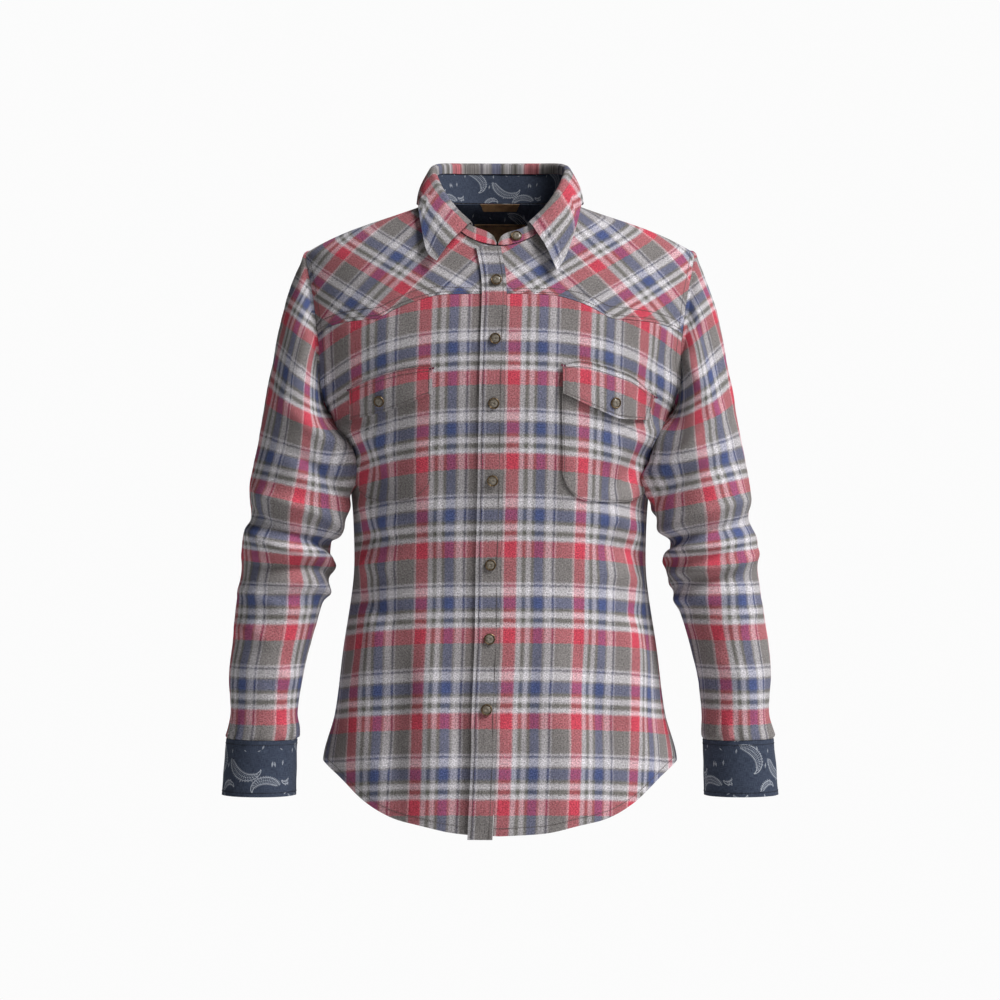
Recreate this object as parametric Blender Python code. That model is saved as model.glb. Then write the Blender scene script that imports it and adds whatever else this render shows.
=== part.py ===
"""Western snap shirt, worn and filled out: thin cloth walls and turned snaps.

Metres, +Z up, the front faces -Y. The origin is midway between the two points where the
shoulders meet the neck. The wearer's left is +X.
"""
import math
from bisect import bisect_right
from collections import namedtuple

import bmesh
import bpy
from mathutils import Vector

# Cloth
CLOTH = 0.0015          # wall of the plaid flannel
LINING = 0.0011         # wall of the printed lining
CUFF_WALL = 0.0022      # two layers and an interlining
LINING_GAP = 0.0011     # between the back yoke and its lining
COLLAR_WALL = 0.0016
SEAM = 0.0003           # gap between neighbouring pieces
LIFT = 0.0011           # gap under a piece that lies on a rounded panel
WELD = 0.00001

# Body: half width and depth to the front and back of a level section
BodyRow = namedtuple("BodyRow", "z half_width front back")
BODY = [
    BodyRow(-0.790, 0.2150, 0.120, 0.116),
    BodyRow(-0.661, 0.2122, 0.118, 0.114),
    BodyRow(-0.607, 0.1980, 0.114, 0.110),
    BodyRow(-0.530, 0.1880, 0.108, 0.105),
    BodyRow(-0.448, 0.1760, 0.104, 0.098),
    BodyRow(-0.400, 0.1750, 0.106, 0.096),
    BodyRow(-0.340, 0.1790, 0.113, 0.100),
    BodyRow(-0.305, 0.1870, 0.118, 0.104),
    BodyRow(-0.280, 0.1965, 0.121, 0.106),
    BodyRow(-0.258, 0.2035, 0.123, 0.107),
    BodyRow(-0.230, 0.2190, 0.124, 0.108),
    BodyRow(-0.200, 0.2320, 0.122, 0.109),
    BodyRow(-0.150, 0.2430, 0.118, 0.109),
    BodyRow(-0.100, 0.2425, 0.104, 0.104),
    BodyRow(-0.066, 0.2375, 0.091, 0.095),
    BodyRow(-0.054, 0.2300, 0.0865, 0.090),
    BodyRow(-0.030, 0.1820, 0.078, 0.078),
    BodyRow(0.000, 0.0954, 0.0675, 0.062),
    BodyRow(0.014, 0.0690, 0.0600, 0.0560),
]

# Lower edge and yoke seams: height at a fraction of the way from centre to side
EdgeRow = namedtuple("EdgeRow", "fraction z")
HEM = [
    EdgeRow(0.00, -0.7420),
    EdgeRow(0.16, -0.7390),
    EdgeRow(0.28, -0.7311),
    EdgeRow(0.40, -0.7233),
    EdgeRow(0.52, -0.7074),
    EdgeRow(0.65, -0.6850),
    EdgeRow(0.73, -0.6750),
    EdgeRow(0.85, -0.6660),
    EdgeRow(1.00, -0.6610),
]
# Two runs that meet in the western point; the fraction here counts along each run
YOKE_INNER = [EdgeRow(0.00, -0.1110), EdgeRow(0.45, -0.1125), EdgeRow(0.63, -0.1180),
              EdgeRow(0.80, -0.1263), EdgeRow(1.00, -0.1397)]
YOKE_OUTER = [EdgeRow(0.00, -0.1397), EdgeRow(0.25, -0.1411), EdgeRow(0.50, -0.1432),
              EdgeRow(0.78, -0.1485), EdgeRow(1.00, -0.1550)]
YOKE_POINT = {1: 0.51, -1: 0.57}     # where the front point lies, by side
BACK_YOKE_CENTRE = -0.175
BACK_YOKE_SIDE = -0.155

# Armhole: an oval in the side of the body
ARM_HEIGHT = -0.155     # its centre
ARM_RISE = 0.103        # half its height
ARM_REACH = math.radians(27.0)       # how far round the body it reaches, front and back
ARM_STEPS = 16          # points around it
QUARTER = ARM_STEPS // 4

# Neckline
NECK_WIDTH = 0.074
NECK_SIDE = 0.008       # height at the shoulder
NECK_DROP = 0.062       # from there to the centre front
NECK_BACK_RISE = 0.0025
LEAF_END = 28.0         # degrees from the centre front to where a collar leaf ends
NECK_STOPS = [14.0, LEAF_END, 48.0, 69.0, 90.0, 108.0, 126.0, 144.0, 162.0, 180.0]

# Grids
FRONT_COLUMNS = 12
BACK_COLUMNS = 20
SIDE_ROWS = 11          # hem to armpit
NECK_COLUMNS = 5        # of a front yoke's columns, those that end at the neckline

# Placket: its middle leans towards the wearer's right
MiddleRow = namedtuple("MiddleRow", "z x")
MIDDLE = [MiddleRow(-0.750, -0.0226), MiddleRow(-0.650, -0.0182), MiddleRow(-0.596, -0.0174),
          MiddleRow(-0.514, -0.0140), MiddleRow(-0.427, -0.0128), MiddleRow(-0.329, -0.0105),
          MiddleRow(-0.240, -0.0091), MiddleRow(-0.165, -0.0075), MiddleRow(-0.096, -0.0062),
          MiddleRow(-0.054, -0.0130)]
PLACKET_LEFT = 0.0152   # from the middle to its free edge
PLACKET_RIGHT = 0.0135  # from the middle to its seam
PLACKET_WALL = 0.0018
PLACKET_TOP = -0.0555
PLACKET_BOTTOM = -0.7460
PLACKET_ROWS = 22
UNDERLAP = 0.0120       # how far the right front passes the middle

# Sleeves: outer and inner edge of a section, half its depth and how far it comes forward
SleeveRow = namedtuple("SleeveRow", "outer_x outer_z inner_x inner_z depth forward")
SLEEVE = [
    SleeveRow(0.2425, -0.0765, 0.2062, -0.2645, 0.0585, 0.000),
    SleeveRow(0.2525, -0.1015, 0.2028, -0.2730, 0.0605, 0.002),
    SleeveRow(0.2605, -0.1300, 0.1985, -0.2840, 0.0620, 0.004),
    SleeveRow(0.2680, -0.1630, 0.1925, -0.2980, 0.0630, 0.007),
    SleeveRow(0.2730, -0.1940, 0.1872, -0.3160, 0.0630, 0.010),
    SleeveRow(0.2790, -0.2260, 0.1838, -0.3380, 0.0625, 0.012),
    SleeveRow(0.2850, -0.2600, 0.1830, -0.3520, 0.0610, 0.013),
    SleeveRow(0.2912, -0.2950, 0.1848, -0.3660, 0.0590, 0.014),
    SleeveRow(0.2985, -0.3300, 0.1890, -0.3800, 0.0570, 0.014),
    SleeveRow(0.2995, -0.3520, 0.1960, -0.3925, 0.0560, 0.014),
    SleeveRow(0.2978, -0.3760, 0.2022, -0.4050, 0.0540, 0.014),
    SleeveRow(0.3065, -0.3960, 0.2000, -0.4235, 0.0545, 0.014),
    SleeveRow(0.3090, -0.4160, 0.2008, -0.4390, 0.0530, 0.014),
    SleeveRow(0.3085, -0.4360, 0.2070, -0.4570, 0.0515, 0.014),
    SleeveRow(0.3130, -0.4680, 0.2135, -0.4780, 0.0500, 0.014),
    SleeveRow(0.3195, -0.5180, 0.2235, -0.5130, 0.0475, 0.015),
    SleeveRow(0.3234, -0.5600, 0.2345, -0.5550, 0.0445, 0.015),
    SleeveRow(0.3215, -0.6000, 0.2412, -0.6020, 0.0405, 0.015),
    SleeveRow(0.3225, -0.6210, 0.2414, -0.6230, 0.0385, 0.015),
    SleeveRow(0.3262, -0.6357, 0.2425, -0.6367, 0.0370, 0.015),
]
SLEEVE_TURN = 0.0012    # first step of the sleeve, along the body
SLEEVE_STEP = 0.0030    # and away from it

# Cuffs: a strip wound round once and overlapped at the back
CUFF_TOP = SleeveRow(0.3272, -0.6362, 0.2420, -0.6372, 0.0375, 0.015)
CUFF_BOTTOM = SleeveRow(0.3325, -0.7030, 0.2440, -0.7035, 0.0385, 0.015)
CUFF_ROWS = 2
CUFF_STEP = 15          # degrees
CUFF_START = 255        # where the under end lies; the back is at 270
CUFF_LAP = 2            # steps of overlap
CUFF_RAMP = 2           # steps in which the upper end climbs over the under end

# Collar, from the leaf's end (28 degrees) round to the centre back (180 degrees)
FoldRow = namedtuple("FoldRow", "angle x y z rise")
FOLD = [
    FoldRow(28, 0.0340, -0.0735, -0.0258, 0.003),
    FoldRow(45, 0.0530, -0.0590, -0.0060, 0.005),
    FoldRow(62, 0.0680, -0.0390, 0.0165, 0.007),
    FoldRow(80, 0.0760, -0.0150, 0.0345, 0.009),
    FoldRow(100, 0.0790, 0.0130, 0.0475, 0.010),
    FoldRow(120, 0.0720, 0.0360, 0.0545, 0.011),
    FoldRow(150, 0.0420, 0.0590, 0.0575, 0.012),
    FoldRow(180, 0.0000, 0.0640, 0.0580, 0.012),
]
LeafRow = namedtuple("LeafRow", "angle x y z")
LEAF_BACK = [
    LeafRow(80, 0.0960, -0.0290, 0.0010),
    LeafRow(100, 0.0985, 0.0130, 0.0040),
    LeafRow(120, 0.0890, 0.0400, 0.0030),
    LeafRow(150, 0.0500, 0.0670, 0.0020),
    LeafRow(180, 0.0000, 0.0730, 0.0020),
]
LEAF = {
    1: [LeafRow(28, 0.0637, -0.0975, -0.0866), LeafRow(45, 0.0765, -0.0905, -0.0620),
        LeafRow(62, 0.0885, -0.0740, -0.0330)] + LEAF_BACK,
    -1: [LeafRow(28, 0.0715, -0.0955, -0.0725), LeafRow(45, 0.0830, -0.0860, -0.0610),
         LeafRow(62, 0.0925, -0.0690, -0.0270)] + LEAF_BACK,
}
COLLAR_ANGLES = [angle for angle in reversed(NECK_STOPS) if angle >= LEAF_END]
COLLAR_STEPS = len(COLLAR_ANGLES) - 1
ROLL = 0.0034           # radius of the fold
FALL_STEPS = 4          # below the fold
LEAF_CLEAR = 0.0036     # least gap between a leaf and the body
STAND_END = {1: -1.5, -1: 3.5}       # degrees before or past the centre front
STAND_CORNER = 14.0     # degrees over which a stand end rounds off
STAND_LOW = 0.0030      # height of a stand's very end
NECK_GAP = 0.0012       # the neckline is steep, so its seam is measured upright
STAND_ROWS = 2
STAND_END_STEPS = 4     # past the leaf
STAND_HALF = COLLAR_STEPS + STAND_END_STEPS

# Pockets and flaps, in the width and height of the front
POCKET_BOTTOM = -0.3530
POCKET_CORNER = 0.036
POCKET_WALL = 0.0013
POCKET_COLUMNS = 9
POCKET_ROWS = 8
FlapRow = namedtuple("FlapRow", "x top lower")
FLAP = {
    1: [FlapRow(0.0720, -0.1936, -0.2275), FlapRow(0.0960, -0.1900, -0.2384),
        FlapRow(0.1348, -0.2000, -0.2548), FlapRow(0.1570, -0.2090, -0.2560),
        FlapRow(0.1800, -0.2280, -0.2555)],
    -1: [FlapRow(0.0776, -0.1976, -0.2273), FlapRow(0.1030, -0.1985, -0.2375),
         FlapRow(0.1289, -0.2035, -0.2465), FlapRow(0.1530, -0.2110, -0.2515),
         FlapRow(0.1745, -0.2195, -0.2550)],
}
POCKET_EDGE = {1: (0.0715, 0.1775), -1: (0.0785, 0.1725)}
FLAP_WALL = 0.0015
FLAP_COLUMNS = 8
FLAP_ROWS = 3

# Leather at the back of the neck
PatchSize = namedtuple("PatchSize", "half_width top bottom wall")
LOOP = PatchSize(0.0245, 0.0084, 0.0006, 0.0013)
LABEL = PatchSize(0.0315, -0.0125, -0.0345, 0.0009)
PATCH_LIFT = 0.0026     # the lining bows inwards under them

# Snaps
SNAP_RADIUS = 0.0068
SNAP_HEIGHT = 0.0022
CAP_RADIUS = 0.0052
SNAP_SIDES = 14
FRONT_SNAPS = [-0.0964, -0.1646, -0.2396, -0.3288, -0.4272, -0.5138, -0.5956]
FLAP_SNAP = {1: (0.1318, -0.2374), -1: (0.1378, -0.2355)}
SNAP_OFFSET = 0.0020    # from the placket's middle
NECK_SNAP_ANGLE = 15.5
SNAP_SEAT_ANGLE = 6.0   # half of the stretch of collar stand that a snap sits on

# Colours (red, green, blue), roughness and metallic
FINISH = {
    "flannel": ((0.36, 0.25, 0.27), 0.95, 0.0),
    "chambray": ((0.035, 0.045, 0.075), 0.9, 0.0),
    "leather": ((0.30, 0.15, 0.06), 0.6, 0.0),
    "brass": ((0.16, 0.12, 0.08), 0.4, 1.0),
    "pearl": ((0.30, 0.26, 0.22), 0.3, 0.0),
}


def along(rows, key, column):
    """A named column of a table, on a smooth curve through its rows."""
    keys = [row[0] for row in rows]
    values = [getattr(row, column) for row in rows]
    last = len(keys) - 1
    key = min(max(key, keys[0]), keys[last])
    low = min(max(bisect_right(keys, key) - 1, 0), last - 1)

    def slope(place):
        before = max(place - 1, 0)
        after = min(place + 1, last)
        return (values[after] - values[before]) / (keys[after] - keys[before])

    span = keys[low + 1] - keys[low]
    t = (key - keys[low]) / span
    rise = values[low + 1] - values[low]
    start = slope(low) * span
    end = slope(low + 1) * span
    return (values[low] + start * t + (3 * rise - 2 * start - end) * t ** 2
            + (start + end - 2 * rise) * t ** 3)


def mix(a, b, t):
    return a + (b - a) * t


def body_width(z):
    return along(BODY, z, "half_width")


def body_depth(z, face):
    return along(BODY, z, "front" if face < 0 else "back")


def body_point(x, z, face):
    """Point of the body at this width and height, on its front (-1) or back (1) face."""
    share = min(abs(x) / body_width(z), 1.0)
    return Vector((x, face * body_depth(z, face) * math.sqrt(1.0 - share ** 2), z))


def body_normal(point, face):
    """Outward direction of the body's section oval, tilted by its taper."""
    step = 0.001
    z = point.z
    width = body_width(z)
    depth = body_depth(z, face)
    width_slope = (body_width(z + step) - body_width(z - step)) / (2 * step)
    depth_slope = (body_depth(z + step, face) - body_depth(z - step, face)) / (2 * step)
    return Vector((point.x / width ** 2,
                   point.y / depth ** 2,
                   -point.x ** 2 * width_slope / width ** 3
                   - point.y ** 2 * depth_slope / depth ** 3)).normalized()


def on_body(x, z, face, out=0.0):
    """Body point moved out; it stays clear of the seam between front and back."""
    point = body_point(x, z, face)
    normal = body_normal(point, face)
    if abs(point.y) < SEAM:
        point.y = face * SEAM / 2
    return point + normal * out


def cloth_pair(x, z, face, out, wall):
    return on_body(x, z, face, out), on_body(x, z, face, out - wall)


def wall_object(name, finish, columns, rows, corner, tube=False):
    """Closed cloth wall. corner(i, j) gives the outer and the inner point of a grid corner."""
    bm = bmesh.new()
    bmesh.ops.create_grid(bm, x_segments=columns, y_segments=rows, size=0.5)
    mark = bm.verts.layers.int.new("corner")
    inner = []
    for vertex in bm.verts:
        i = round((vertex.co.x + 0.5) * columns)
        j = round((vertex.co.y + 0.5) * rows)
        outer_point, inner_point = corner(i, j)
        vertex.co = outer_point
        vertex[mark] = len(inner)
        inner.append(inner_point)
    if tube:
        bmesh.ops.remove_doubles(bm, verts=bm.verts, dist=WELD)
    copy = bmesh.ops.extrude_face_region(bm, geom=bm.faces[:], use_keep_orig=True)
    for vertex in copy["geom"]:
        if isinstance(vertex, bmesh.types.BMVert):
            vertex.co = inner[vertex[mark]]
    finish_object(name, finish, bm)


def finish_object(name, finish, bm):
    bmesh.ops.recalc_face_normals(bm, faces=bm.faces)
    mesh = bpy.data.meshes.new(name)
    bm.to_mesh(mesh)
    bm.free()
    mesh.shade_smooth()
    mesh.set_sharp_from_angle(angle=math.radians(50))
    mesh.materials.append(material(finish))
    bpy.context.collection.objects.link(bpy.data.objects.new(name, mesh))


def material(finish):
    found = bpy.data.materials.get(finish)
    if found:
        return found
    colour, roughness, metallic = FINISH[finish]
    made = bpy.data.materials.new(finish)
    made.use_nodes = True
    shader = made.node_tree.nodes["Principled BSDF"]
    shader.inputs["Base Color"].default_value = (*colour, 1.0)
    shader.inputs["Roughness"].default_value = roughness
    shader.inputs["Metallic"].default_value = metallic
    return made


def side_name(side):
    return "left" if side > 0 else "right"


# Seam lines of the body panels

def arm_turn(step):
    """Angle around the armhole: 0 at the shoulder, 90 degrees at the front."""
    return 2 * math.pi * step / ARM_STEPS


def arm_width(turn):
    """Distance of an armhole point from the middle, and its height."""
    z = ARM_HEIGHT + ARM_RISE * math.cos(turn)
    return body_width(z) * math.cos(ARM_REACH * abs(math.sin(turn))), z


def side_edge(row):
    """Side edge of a lower panel: its angle around the body and its height."""
    if row <= SIDE_ROWS:
        armpit = ARM_HEIGHT - ARM_RISE
        return math.pi / 2, mix(HEM[-1].z, armpit, row / SIDE_ROWS)
    turn = arm_turn(2 * QUARTER - (row - SIDE_ROWS))
    return math.pi / 2 - ARM_REACH * math.sin(turn), ARM_HEIGHT + ARM_RISE * math.cos(turn)


def front_yoke_height(fraction, side):
    point = YOKE_POINT[side]
    fraction = max(fraction, 0.0)
    if fraction < point:
        return along(YOKE_INNER, fraction / point, "z")
    return along(YOKE_OUTER, (fraction - point) / (1 - point), "z")


def back_yoke_height(fraction):
    return mix(BACK_YOKE_CENTRE, BACK_YOKE_SIDE, abs(fraction) ** 0.9)


def middle(z):
    return along(MIDDLE, z, "x")


def front_edge(z, side):
    """Inner edge of a front panel, measured towards its own side."""
    if side > 0:
        return middle(z) + PLACKET_RIGHT + SEAM
    return -(middle(z) + UNDERLAP)


def front_fraction(column, side):
    """Columns are even on each side of the yoke's point, which has one of its own."""
    before = round(YOKE_POINT[side] * FRONT_COLUMNS)
    if column <= before:
        return YOKE_POINT[side] * column / before
    rest = (column - before) / (FRONT_COLUMNS - before)
    return mix(YOKE_POINT[side], 1.0, rest)


def panel_place(fraction, row, start_x, seam_height):
    """Width and height of a panel's corner, between the hem and its yoke seam."""
    edge_angle, edge_z = side_edge(row)
    top = ARM_HEIGHT
    share = (edge_z - HEM[-1].z) / (top - HEM[-1].z)
    centre_z = mix(HEM[0].z, seam_height(0.0), share)
    start = math.asin(start_x(centre_z) / body_width(centre_z))
    angle = mix(start, edge_angle, fraction)
    across = min(abs(angle) / edge_angle, 1.0)
    z = mix(along(HEM, across, "z"), seam_height(across), share)
    return body_width(z) * math.sin(angle), z


def make_front(side):
    rows = SIDE_ROWS + QUARTER

    def corner(i, j):
        x, z = panel_place(front_fraction(i, side), j,
                           lambda height: front_edge(height, side),
                           lambda across: front_yoke_height(across, side) - SEAM)
        return cloth_pair(side * x, z, -1, 0.0, CLOTH)

    wall_object(f"front_{side_name(side)}", "flannel", FRONT_COLUMNS, rows, corner)


def make_back():
    rows = SIDE_ROWS + QUARTER

    def corner(i, j):
        fraction = 2 * i / BACK_COLUMNS - 1
        side = -1 if fraction < 0 else 1
        x, z = panel_place(abs(fraction), j, lambda height: 0.0,
                           lambda across: back_yoke_height(across) - SEAM)
        return cloth_pair(side * x, z, 1, 0.0, CLOTH)

    wall_object("back", "flannel", BACK_COLUMNS, rows, corner)


def neck_stops(side):
    """Angles that a yoke's neck edge and the collar share; the first is the front's edge."""
    return [math.degrees(math.asin(front_edge(NECK_SIDE - NECK_DROP, side) / NECK_WIDTH))] + NECK_STOPS


def neck_place(turn):
    """Width and height of the neckline: 0 at the centre front, 180 degrees at the back."""
    if turn <= math.pi / 2:
        drop = NECK_DROP * max(math.cos(turn), 0.0) ** 1.25
        return NECK_WIDTH * math.sin(turn), NECK_SIDE - drop
    z = NECK_SIDE + NECK_BACK_RISE * (turn - math.pi / 2) / (math.pi / 2)
    return body_width(z) * math.sin(turn), z


def yoke_place(bottom, top, fraction, row):
    """Corner of a yoke: rows gather towards the shoulder, and its side is the armhole."""
    turn = arm_turn(QUARTER - row)
    climb = math.cos(turn)
    x = mix(bottom[0], top[0], climb)
    z = mix(bottom[1], top[1], climb)
    arm_x = arm_width(turn)[0]
    straight = mix(arm_width(math.pi / 2)[0], arm_width(0.0)[0], climb)
    return x + (arm_x - straight) * fraction ** 3, z


def shoulder_place(share):
    """Along the ridge from the neck to the armhole."""
    z = mix(NECK_SIDE, ARM_HEIGHT + ARM_RISE, share ** 1.15)
    return body_width(z), z


def make_front_yoke(side):
    seam_edge = math.pi / 2 - ARM_REACH

    def corner(i, j):
        fraction = front_fraction(i, side)
        seam_start = front_edge(front_yoke_height(0.0, side), side)
        start = math.asin(seam_start / body_width(front_yoke_height(0.0, side)))
        angle = mix(start, seam_edge, fraction)
        across = angle / seam_edge
        bottom_z = front_yoke_height(across, side) + (SEAM if i < FRONT_COLUMNS else 0.0)
        bottom = (body_width(bottom_z) * math.sin(angle), bottom_z)
        if i <= NECK_COLUMNS:
            top = neck_place(math.radians(neck_stops(side)[i]))
        else:
            top = shoulder_place((i - NECK_COLUMNS) / (FRONT_COLUMNS - NECK_COLUMNS))
        x, z = yoke_place(bottom, top, fraction, j)
        return cloth_pair(side * x, z, -1, 0.0, CLOTH)

    wall_object(f"yoke_front_{side_name(side)}", "flannel", FRONT_COLUMNS, QUARTER, corner)


def back_yoke_corner(i, j, out, wall):
    half = BACK_COLUMNS // 2
    neck_columns = len(NECK_STOPS) - 1 - NECK_STOPS.index(90.0)
    fraction = abs(i - half) / half
    side = -1 if i < half else 1
    angle = mix(0.0, math.pi / 2 - ARM_REACH, fraction)
    bottom_z = back_yoke_height(fraction) + (SEAM if fraction < 1 else 0.0)
    bottom = (body_width(bottom_z) * math.sin(angle), bottom_z)
    place = abs(i - half)
    if place <= neck_columns:
        top = neck_place(math.radians(NECK_STOPS[-1 - place]))
    else:
        top = shoulder_place((place - neck_columns) / (half - neck_columns))
    x, z = yoke_place(bottom, top, fraction, j)
    return cloth_pair(side * x, z, 1, out, wall)


def make_back_yoke():
    wall_object("yoke_back", "flannel", BACK_COLUMNS, QUARTER,
                lambda i, j: back_yoke_corner(i, j, 0.0, CLOTH))
    wall_object("yoke_lining", "chambray", BACK_COLUMNS, QUARTER,
                lambda i, j: back_yoke_corner(i, j, -CLOTH - LINING_GAP, LINING))


# Sleeves and cuffs

def armhole(side, turn):
    """Point of the armhole, the body's outward direction there, and the way into the hole."""
    face = -1 if math.sin(turn) >= 0 else 1
    x, z = arm_width(turn)
    point = body_point(side * x, z, face)
    normal = body_normal(point, face)
    if abs(math.sin(turn)) < 0.001:
        point.y = 0.0
    step = 0.02
    tangent = arm_outline(side, turn + step) - arm_outline(side, turn - step)
    inward = normal.cross(tangent).normalized()
    middle_of_hole = Vector((side * arm_width(math.pi / 2)[0], 0.0, ARM_HEIGHT))
    if inward.dot(middle_of_hole - point) < 0:
        inward = -inward
    return point, normal, inward


def arm_outline(side, turn):
    x, z = arm_width(turn)
    return body_point(side * x, z, -1 if math.sin(turn) >= 0 else 1)


def section_point(row, side, turn):
    """Point of a sleeve or cuff section; 0 is its outer edge and 90 degrees its front."""
    reach = Vector((row.outer_x - row.inner_x, 0.0, row.outer_z - row.inner_z)) / 2
    centre = Vector(((row.outer_x + row.inner_x) / 2, -row.forward,
                     (row.outer_z + row.inner_z) / 2))
    point = centre + reach * math.cos(turn)
    point.y -= row.depth * math.sin(turn)
    point.x *= side
    return point


def sleeve_rings(side):
    """Outer points of every ring, the armhole's first."""
    first = []
    second = []
    for step in range(ARM_STEPS):
        point, _, inward = armhole(side, arm_turn(step))
        first.append(point + inward * SEAM)
        second.append(point + inward * SLEEVE_TURN + Vector((side * SLEEVE_STEP, 0, 0)))
    rings = [first, second]
    for row in SLEEVE:
        rings.append([section_point(row, side, arm_turn(step)) for step in range(ARM_STEPS)])
    return rings


def make_sleeve(side):
    rings = sleeve_rings(side)
    last = len(rings) - 1

    def corner(i, j):
        step = i % ARM_STEPS
        outer = rings[j][step]
        if j == 0:
            normal = armhole(side, arm_turn(step))[1]
        else:
            down = rings[min(j + 1, last)][step] - rings[j - 1][step]
            around = rings[j][(step + 1) % ARM_STEPS] - rings[j][step - 1]
            normal = around.cross(down).normalized() * side
        return outer, outer - normal * CLOTH

    wall_object(f"sleeve_{side_name(side)}", "flannel", ARM_STEPS, last, corner, tube=True)


def cuff_row(share):
    return SleeveRow(*(mix(a, b, share) for a, b in zip(CUFF_TOP, CUFF_BOTTOM)))


def cuff_pair(side, step, share):
    """Outer and inner point of a cuff at a step along its strip."""
    turn = math.radians(CUFF_START + CUFF_STEP * step)
    row = cuff_row(share)
    point = section_point(row, side, turn)
    away = Vector((side * math.cos(turn) / (row.outer_x - row.inner_x) * 2,
                   -math.sin(turn) / row.depth, 0.0)).normalized()
    whole = 360 // CUFF_STEP
    climb = min(max((step - whole + CUFF_RAMP) / CUFF_RAMP, 0.0), 1.0)
    outer = point + away * climb * (CUFF_WALL + SEAM)
    return outer, outer - away * CUFF_WALL


def make_cuff(side):
    columns = 360 // CUFF_STEP + CUFF_LAP
    wall_object(f"cuff_{side_name(side)}", "chambray", columns, CUFF_ROWS,
                lambda i, j: cuff_pair(side, i, j / CUFF_ROWS))


# Placket, pockets and flaps

def make_placket():
    columns = 2

    def corner(i, j):
        z = mix(PLACKET_BOTTOM, PLACKET_TOP, j / PLACKET_ROWS)
        x = middle(z) + mix(-PLACKET_LEFT, PLACKET_RIGHT, i / columns)
        return cloth_pair(x, z, -1, LIFT + PLACKET_WALL, PLACKET_WALL)

    wall_object("placket", "flannel", columns, PLACKET_ROWS, corner)


def make_pocket(side):
    inner, outer = POCKET_EDGE[side]

    def corner(i, j):
        across = i / POCKET_COLUMNS
        x = mix(inner, outer, across)
        from_side = min(x - inner, outer - x)
        into_corner = max(POCKET_CORNER - from_side, 0.0)
        rounding = POCKET_CORNER - math.sqrt(POCKET_CORNER ** 2 - into_corner ** 2)
        top = flap_place(side, across, 0.30)[1]
        z = mix(POCKET_BOTTOM + rounding, top, j / POCKET_ROWS)
        return cloth_pair(side * x, z, -1, LIFT + POCKET_WALL, POCKET_WALL)

    wall_object(f"pocket_{side_name(side)}", "flannel", POCKET_COLUMNS, POCKET_ROWS, corner)


def flap_place(side, across, down):
    """Width and height of a flap's corner; down is 0 at its top edge."""
    rows = FLAP[side]
    point = 2
    place = across * (len(rows) - 1)
    low = min(int(place), len(rows) - 2)
    x = mix(rows[low].x, rows[low + 1].x, place - low)
    top = along(rows, x, "top")
    part = rows[:point + 1] if x <= rows[point].x else rows[point:]
    return x, mix(top, along(part, x, "lower"), down)


def make_flap(side):
    def corner(i, j):
        down = j / FLAP_ROWS
        x, z = flap_place(side, i / FLAP_COLUMNS, down)
        out = 2 * LIFT + POCKET_WALL + FLAP_WALL + 0.0012 * down
        return cloth_pair(side * x, z, -1, out, FLAP_WALL)

    wall_object(f"flap_{side_name(side)}", "flannel", FLAP_COLUMNS, FLAP_ROWS, corner)


# Collar

def collar_angle(step):
    """Angle of a collar step, and its side: the wearer's right end comes first."""
    side = -1 if step < COLLAR_STEPS else 1
    return COLLAR_ANGLES[abs(step - COLLAR_STEPS)], side


def fold_point(angle, side):
    point = Vector([along(FOLD, angle, axis) for axis in "xyz"])
    point.x *= side
    return point


def fold_out(angle, side):
    """Level direction away from the neck."""
    turn = math.radians(angle)
    return Vector((side * math.sin(turn), -math.cos(turn) * 1.1, 0.0)).normalized()


def neck_curve(angle, side):
    x, z = neck_place(math.radians(angle))
    return body_point(side * x, z, 1 if angle > 90 else -1)


def neck_point(angle, side):
    """Point of the neckline, on the straight run between two of its stops."""
    stops = neck_stops(side)
    if angle < stops[0]:
        return neck_curve(angle, side)
    low = min(bisect_right(stops, angle) - 1, len(stops) - 2)
    start = neck_curve(stops[low], side)
    end = neck_curve(stops[low + 1], side)
    return start.lerp(end, (angle - stops[low]) / (stops[low + 1] - stops[low]))


def stand_top(angle, side):
    """Top of the collar stand above a neckline point."""
    if angle >= LEAF_END:
        return fold_point(angle, side) - Vector((0, 0, along(FOLD, angle, "rise") + SEAM))
    end_top = stand_top(LEAF_END, side)
    rise = end_top - neck_point(LEAF_END, side)
    share = min(max((angle - STAND_END[side]) / STAND_CORNER, 0.0), 1.0)
    height = mix(STAND_LOW / rise.z, 1.0, math.sqrt(1.0 - (1.0 - share) ** 2))
    return neck_point(angle, side) + rise * height


def stand_angle(step):
    """From the wearer's right end round the back to the left; the collar's steps, then ends."""
    past = abs(step - STAND_HALF) - COLLAR_STEPS
    if past <= 0:
        return collar_angle(step - STAND_END_STEPS)
    side = -1 if step < STAND_HALF else 1
    return mix(LEAF_END, STAND_END[side], past / STAND_END_STEPS), side


def stand_pair(angle, side, share, out, wall):
    away = fold_out(angle, side)
    low = neck_point(angle, side) + Vector((0, 0, NECK_GAP))
    point = low.lerp(stand_top(angle, side), share) + away * out
    return point, point - away * wall


def stand_seat(angle, side):
    """Middle of the stand's outer side at an angle, and the direction that it faces."""
    def outer(turn, share):
        return stand_pair(turn, side, share, 0.0, CLOTH)[0]

    half = SNAP_SEAT_ANGLE
    across = outer(angle + half, 0.5) - outer(angle - half, 0.5)
    up = outer(angle, 0.8) - outer(angle, 0.2)
    normal = across.cross(up).normalized()
    return outer(angle, 0.5) + normal * LIFT, normal


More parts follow.
